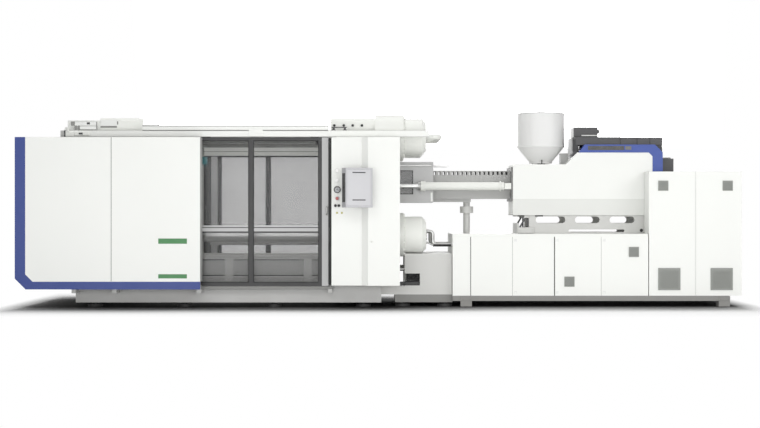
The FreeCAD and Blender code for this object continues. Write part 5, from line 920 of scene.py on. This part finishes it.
class MACHINE_OT_carriage_fittings(bpy.types.Operator):
    """Adds the cover's skirt, a band of painted shade, the hood's louvre and the drive's small parts"""
    bl_idname = "machine.carriage_fittings"
    bl_label = "Carriage fittings"

    def execute(self, context):
        size = context.scene.machine_sizes
        skirt, louvre, latch = new_meshes(3)
        foot, face = COVER_LOW.z, -COVER_HIGH.y
        # The skirt is a flat band of darker paint: painted shade for the downward-facing lower band of the cover.
        add_plate(skirt, (COVER_LOW.x, face - 0.0035, foot), (COVER_HIGH.x, face, foot + 0.242))
        for x in (COVER_LOW.x + 0.10 + step * 0.375 for step in range(6)):
            add_stud(skirt, size.screw_head, (x, face - 0.0035, foot + 0.215), -0.003)
        make_piece("cover_skirt_shade", skirt, "skirt shade paint", "carriage", 0.001, both=True)
        face, left, right = -HOOD_HIGH.y, 3.059, 3.599
        for z0, z1, proud in ((2.301, 2.307, 0.003), (2.356, 2.362, 0.003), (2.301, 2.362, 0.0008)):
            add_plate(louvre, (left, face - proud, z0), (right, face, z1))
        for x in (left + 0.003 + step * 0.0193 for step in range(28)):
            add_plate(louvre, (x, face - 0.003, 2.307), (x + 0.011, face, 2.356))
        make_piece("hood_louvre", louvre, "dark grey paint", "carriage", 0.0004, both=True)
        add_plate(latch, (3.615, face - 0.004, 2.306), (3.704, face, 2.358))
        add_stud(latch, 0.012, (3.66, face - 0.004, 2.332), -0.0025, 20)
        make_piece("hood_latch", latch, "flange paint", "carriage", 0.0015, both=True)
        self.add_drive_parts()
        return {"FINISHED"}

    def add_drive_parts(self):
        """Ribs, knobs, cable guide and motor fins of the drive unit."""
        ribs, lip, parts, guide = new_meshes(4)
        front = DRIVE_LOW.y
        for x in (3.550, 3.800, 3.990):
            add_plate(ribs, (x, front - 0.006, 2.385), (x + 0.014, -front + 0.006, 2.497))
        add_pair(ribs, (2.877, -0.203, 2.500), (3.222, -0.2005, 2.520))
        add_pair(ribs, (2.862, -0.300, 2.205), (2.934, -0.280, 2.400))
        add_plate(ribs, (4.088, -0.300, 2.275), (DRIVE_BACK, 0.300, 2.3875))
        make_piece("drive_ribs", ribs, "door frame paint", "carriage", 0.0006)
        add_pair(lip, (2.990, -0.2030, 2.5215), (3.237, -0.2005, 2.536))
        make_piece("drive_cover_lip", lip, "white enamel", "carriage", 0.0)
        add_plate(parts, (2.880, front - 0.004, 2.487), (3.550, -front + 0.004, 2.500))
        for y in (-0.12, 0.12):
            add_turned(parts, [(0, 0), (0.030, 0), (0.030, 0.018), (0.022, 0.030), (0, 0.030)],
                       (3.237, y, 2.590), ALONG, 28)
        add_rod(parts, 0.004, (3.557, -0.25, 2.497), (3.557, -0.25, 2.565), 12)
        for x in (DRIVE_HIGH.x - 0.161 + step * 0.022 for step in range(7)):
            add_ring(parts, 0.122, 0.094, (x, 0, 2.085), (x + 0.006, 0, 2.085), 40)
        make_piece("drive_parts", parts, "dark grey paint", "carriage", 0.0012)
        for z in (2.285 + step * 0.0205 for step in range(9)):
            add_plate(guide, (2.848, front - 0.014, z), (2.892, front + 0.002, z + 0.015))
        add_plate(guide, (2.853, front - 0.010, 2.285), (2.887, front, 2.465))
        make_piece("drive_cable_guide", guide, "black plastic", "carriage", 0.001)


class MACHINE_OT_hopper_fittings(bpy.types.Operator):
    """Adds the hopper's seams and bands and the lid's edge"""
    bl_idname = "machine.hopper_fittings"
    bl_label = "Hopper fittings"

    def execute(self, context):
        seams, bolts, rim = new_meshes(3)
        x = HOPPER_LOW.x + HOPPER_RADIUS
        for turn in map(math.radians, (-62, -118, 60, 120)):
            low = Vector((x + math.cos(turn) * 0.3585, math.sin(turn) * 0.3585, 2.375))
            add_rod(seams, 0.0022, low, low + Vector((0, 0, 0.455)), 8)
        add_turned(seams, [(0.3575, 0), (0.3625, 0.004), (0.3625, 0.022), (0.3575, 0.026)], (x, 0, 2.352), UP, 96)
        bolt_circle(bolts, (x, 0, 2.118), UP, 0.150, 8, 0.011, 0.012)
        add_turned(rim, [(0.357, 0), (0.361, 0.002), (0.361, 0.010), (0.357, 0.012)],
                   (x, 0, LID_LOW.z + 0.004), UP, 96)
        make_piece("hopper_seams", seams, "hopper paint", "carriage", 0.0)
        make_piece("hopper_throat_bolts", bolts, "bright screw", "carriage", 0.0)
        make_piece("lid_rim", rim, "light grey paint", "lid", 0.0)
        return {"FINISHED"}


class MACHINE_OT_bed_fittings(bpy.types.Operator):
    """Adds the bed's struts, wipers and plugs, and the small parts of the lower doors and skids"""
    bl_idname = "machine.bed_fittings"
    bl_label = "Bed and cabinet fittings"

    def execute(self, context):
        size = context.scene.machine_sizes
        strut, foot, pads, stops = new_meshes(4)
        face = -BED_FACE
        y = face + 0.015
        add_rod(strut, 0.013, (2.135, y, 1.300), (2.048, y, 1.150), 16)
        add_rod(strut, 0.012, (2.162, y, 1.300), (2.162, y, 1.150), 16)
        add_plate(foot, (2.012, face - 0.028, 1.066), (2.262, face, 1.152))
        add_plate(foot, (2.105, face - 0.024, 1.292), (2.190, face, 1.316))
        for x in (2.04, 2.235):
            add_stud(foot, size.bolt_head, (x, face - 0.028, 1.109), -0.008, 6)
        for x0, x1 in ((2.012, 2.112), (2.275, 2.390)):
            add_plate(pads, (x0, face - 0.015, 1.312), (x1, face - 0.001, 1.330))
        add_turned(stops, [(0, 0), (0.024, 0), (0.024, 0.006), (0.018, 0.012), (0, 0.012)],
                   (3.857, face, 1.107), FORWARD, 28)
        make_piece("bed_struts", strut, "dark grey paint", "machine", 0.0, both=True)
        make_piece("bed_strut_blocks", foot, "pale grey paint", "machine", 0.006, both=True)
        make_piece("bed_wipers", pads, "black rubber", "machine", 0.002, both=True)
        make_piece("bed_plugs", stops, "black rubber", "machine", 0.0, both=True)
        self.add_door_parts(size)
        feet = bmesh.new()
        for x in (1.145, 4.915):
            add_plate(feet, (x, SKID_FACE - 0.008, 0.084), (x + 0.164, SKID_FACE, 0.150))
            for bolt in (x + 0.03, x + 0.134):
                add_stud(feet, 0.012, (bolt, SKID_FACE - 0.008, 0.117), -0.008, 6)
        make_piece("skid_foot_plates", feet, "skid paint", "machine", 0.002, both=True)
        return {"FINISHED"}

    def add_door_parts(self, size):
        """Corner plates, gap seals and edging of the lower doors."""
        doors = [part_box("base_door_%d" % number) for number in (1, 2, 3, 4)]
        for number in (2, 3, 4):
            low, high = doors[number - 1]
            plates = bmesh.new()
            for z in (low.z + 0.030, high.z - 0.070):
                add_plate(plates, (low.x + 0.022, DOOR_FACE - 0.0025, z), (low.x + 0.062, DOOR_FACE, z + 0.040))
                add_stud(plates, size.screw_head, (low.x + 0.042, DOOR_FACE - 0.0025, z + 0.02), -0.003)
            make_piece("base_door_%d_corner_plates" % number, plates, "white enamel", "cabinet_door_%d" % number,
                       0.0008)
        left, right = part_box("electric_door_left"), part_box("electric_door_right")
        spots = [(a[1].x, b[0].x, a[0].z, a[1].z) for a, b in [*zip(doors, doors[1:]), (left, right)]]
        low, high = doors[0]
        spots.append((low.x - 0.004, low.x, low.z, high.z))
        seals = bmesh.new()
        for x0, x1, z0, z1 in spots:
            add_plate(seals, (x0 + 0.0003, DOOR_FACE + 0.012, z0), (x1 - 0.0003, DOOR_FACE + 0.0245, z1))
        make_piece("door_gap_seals", seals, "black rubber", "machine", 0.0)
        for number, width in ((1, 0.006), (3, 0.0095)):
            low, high = doors[number - 1]
            lip = bmesh.new()
            add_plate(lip, (low.x, DOOR_FACE - 0.0015, low.z), (low.x + width, DOOR_FACE, high.z))
            make_piece("base_door_%d_edging" % number, lip, "black rubber", "cabinet_door_%d" % number, 0.0)


# ---------------------------------------------------------------- operators: stage
class MACHINE_OT_stage(bpy.types.Operator):
    """Sets the floor, the even light, the lamps and the camera"""
    bl_idname = "machine.stage"
    bl_label = "Set the studio"

    def execute(self, context):
        scene, studio = context.scene, context.scene.machine_studio
        floor_mesh = bmesh.new()
        bmesh.ops.create_grid(floor_mesh, x_segments=1, y_segments=1, size=60)
        mesh = bpy.data.meshes.new("studio_floor")
        floor_mesh.to_mesh(mesh)
        floor_mesh.free()
        floor = bpy.data.objects.new("studio_floor", mesh)
        scene.collection.objects.link(floor)
        self.floor_material()
        mesh.materials.append(bpy.data.materials["studio floor"])
        self.even_light(scene, studio.fill)
        for name, place, aim, share, width, height in (
                ("key_lamp", (-4.0, -11.0, 8.0), (0, 0, 1.2), 0.45, 9.0, 4.0),
                ("inner_lamp", (-1.75, -0.95, 2.05), (-1.75, 1.04, 1.9), 0.016, 1.6, 0.3),
                ("low_lamp", (0.0, -12.0, 1.3), (0, 0, 0.9), 0.75, 15.0, 2.4),
                ("side_lamp", (9.0, -8.0, 5.0), (2, 0, 1.2), 0.40, 5.0, 4.0),
                ("rear_lamp", (1.0, 12.0, 4.5), (0, 0, 1.0), 0.8, 13.0, 3.5),
                ("top_lamp", (0.0, 1.0, 9.0), (0, 0, 1.0), 0.45, 11.0, 4.0)):
            lamp = bpy.data.lights.new(name, "AREA")
            lamp.shape = "RECTANGLE"
            lamp.size = width
            lamp.size_y = height
            lamp.energy = studio.key * share
            holder = bpy.data.objects.new(name, lamp)
            holder.location = place
            holder.rotation_euler = (Vector(aim) - Vector(place)).to_track_quat("-Z", "Y").to_euler()
            holder.visible_camera = holder.visible_glossy = name != "inner_lamp"
            scene.collection.objects.link(holder)
        lens = bpy.data.cameras.new("camera")
        lens.lens = studio.lens
        lens.sensor_width = 36.0
        lens.clip_end = 200.0
        camera = bpy.data.objects.new("camera", lens)
        camera.location = (studio.camera_x, studio.camera_y, studio.camera_z)
        camera.rotation_euler = (math.pi / 2, 0, 0)
        scene.collection.objects.link(camera)
        scene.camera = camera
        scene.view_settings.view_transform = "Standard"
        return {"FINISHED"}

    def floor_material(self):
        """Pale floor with a painted contact shadow near the machine, which the camera and reflections see, fading
        to white away from it.
        """
        tree, shader = start_material("studio floor", **{"Roughness": 0.9, "Specular IOR Level": 0.1})
        pale = add_blend(tree, add_noise(tree, 30.0, 4.0), (0.93, 0.93, 0.93, 1), (0.90, 0.90, 0.90, 1))
        open_sky = add_node(tree, "ShaderNodeAmbientOcclusion", {"Distance": 1.6}, samples=8)
        # Painted shadow: ambient occlusion darkens the floor's colour near the machine to near black for camera
        # and glossy rays.
        painted_contact_shadow = add_math(tree, "POWER", open_sky.outputs["AO"], 4.5)
        rays = add_node(tree, "ShaderNodeLightPath").outputs
        looked_at = add_math(tree, "MAXIMUM", rays["Is Camera Ray"], rays["Is Glossy Ray"])
        bright = add_math(tree, "MAXIMUM", painted_contact_shadow, add_math(tree, "SUBTRACT", 1.0, looked_at))
        feed(tree, shader.inputs["Base Color"], add_blend(tree, bright, (0.01, 0.01, 0.01, 1), pale))
        place = add_node(tree, "ShaderNodeTexCoord")
        split = add_node(tree, "ShaderNodeSeparateXYZ", {0: place.outputs["Object"]})
        far_x = add_math(tree, "SUBTRACT", add_math(tree, "ABSOLUTE", split.outputs["X"]), 5.15)
        far_x = add_math(tree, "MULTIPLY", far_x, 4.0)
        far_y = add_math(tree, "SUBTRACT", add_math(tree, "ABSOLUTE", split.outputs["Y"]), 1.8)
        away = add_math(tree, "MULTIPLY", add_math(tree, "MAXIMUM", far_x, far_y), 0.6, clamp=True)
        seen = add_math(tree, "MULTIPLY", away, rays["Is Camera Ray"])
        glow = add_node(tree, "ShaderNodeEmission", {"Color": (1, 1, 1, 1), "Strength": 1.0})
        mix = add_node(tree, "ShaderNodeMixShader", {0: seen, 1: shader.outputs[0], 2: glow.outputs[0]})
        output = next(n for n in tree.nodes if n.type == "OUTPUT_MATERIAL")
        feed(tree, output.inputs["Surface"], mix.outputs[0])

    def even_light(self, scene, strength):
        """Even white light that the camera, gloss and glass see as plain white."""
        world = bpy.data.worlds.new("studio")
        world.use_nodes = True
        scene.world = world
        tree = world.node_tree
        tree.nodes.clear()
        rays = add_node(tree, "ShaderNodeLightPath").outputs
        seen = add_math(tree, "MAXIMUM", rays["Is Camera Ray"], rays["Is Transmission Ray"])
        seen = add_math(tree, "MAXIMUM", seen, rays["Is Glossy Ray"])
        level = add_math(tree, "MULTIPLY_ADD", seen, 1.0 - strength, strength)
        back = add_node(tree, "ShaderNodeBackground", {"Color": (1, 1, 1, 1), "Strength": level})
        add_node(tree, "ShaderNodeOutputWorld", {"Surface": back.outputs[0]})


CLASSES = [MachineColours, MachineSizes, MachineStudio, MACHINE_OT_mix_finishes, MACHINE_OT_finish_bodies,
           MACHINE_OT_clamp_bolts, MACHINE_OT_door_fittings, MACHINE_OT_guard_fittings, MACHINE_OT_column_fittings,
           MACHINE_OT_tank_fittings, MACHINE_OT_purge_fittings, MACHINE_OT_carriage_fittings,
           MACHINE_OT_hopper_fittings, MACHINE_OT_bed_fittings, MACHINE_OT_stage]


class MACHINE_PT_panel(bpy.types.Panel):
    """Lists the machine's settings and steps"""
    bl_idname = "MACHINE_PT_panel"
    bl_label = "Injection Moulding Machine"
    bl_space_type = "VIEW_3D"
    bl_region_type = "UI"
    bl_category = "Machine"

    def draw(self, context):
        for settings in (context.scene.machine_colours, context.scene.machine_sizes, context.scene.machine_studio):
            box = self.layout.box()
            for key in settings.bl_rna.properties.keys():
                if key not in {"rna_type", "name"}:
                    box.prop(settings, key)
        for step in CLASSES:
            if issubclass(step, bpy.types.Operator):
                self.layout.operator(step.bl_idname)


def register():
    for item in CLASSES + [MACHINE_PT_panel]:
        bpy.utils.register_class(item)
    bpy.types.Scene.machine_colours = bpy.props.PointerProperty(type=MachineColours)
    bpy.types.Scene.machine_sizes = bpy.props.PointerProperty(type=MachineSizes)
    bpy.types.Scene.machine_studio = bpy.props.PointerProperty(type=MachineStudio)


def unregister():
    del bpy.types.Scene.machine_colours
    del bpy.types.Scene.machine_sizes
    del bpy.types.Scene.machine_studio
    for item in reversed(CLASSES + [MACHINE_PT_panel]):
        bpy.utils.unregister_class(item)


def main():
    register()
    for step in CLASSES:
        if issubclass(step, bpy.types.Operator):
            family, name = step.bl_idname.split(".")
            getattr(getattr(bpy.ops, family), name)()


if __name__ == "__main__":
    main()
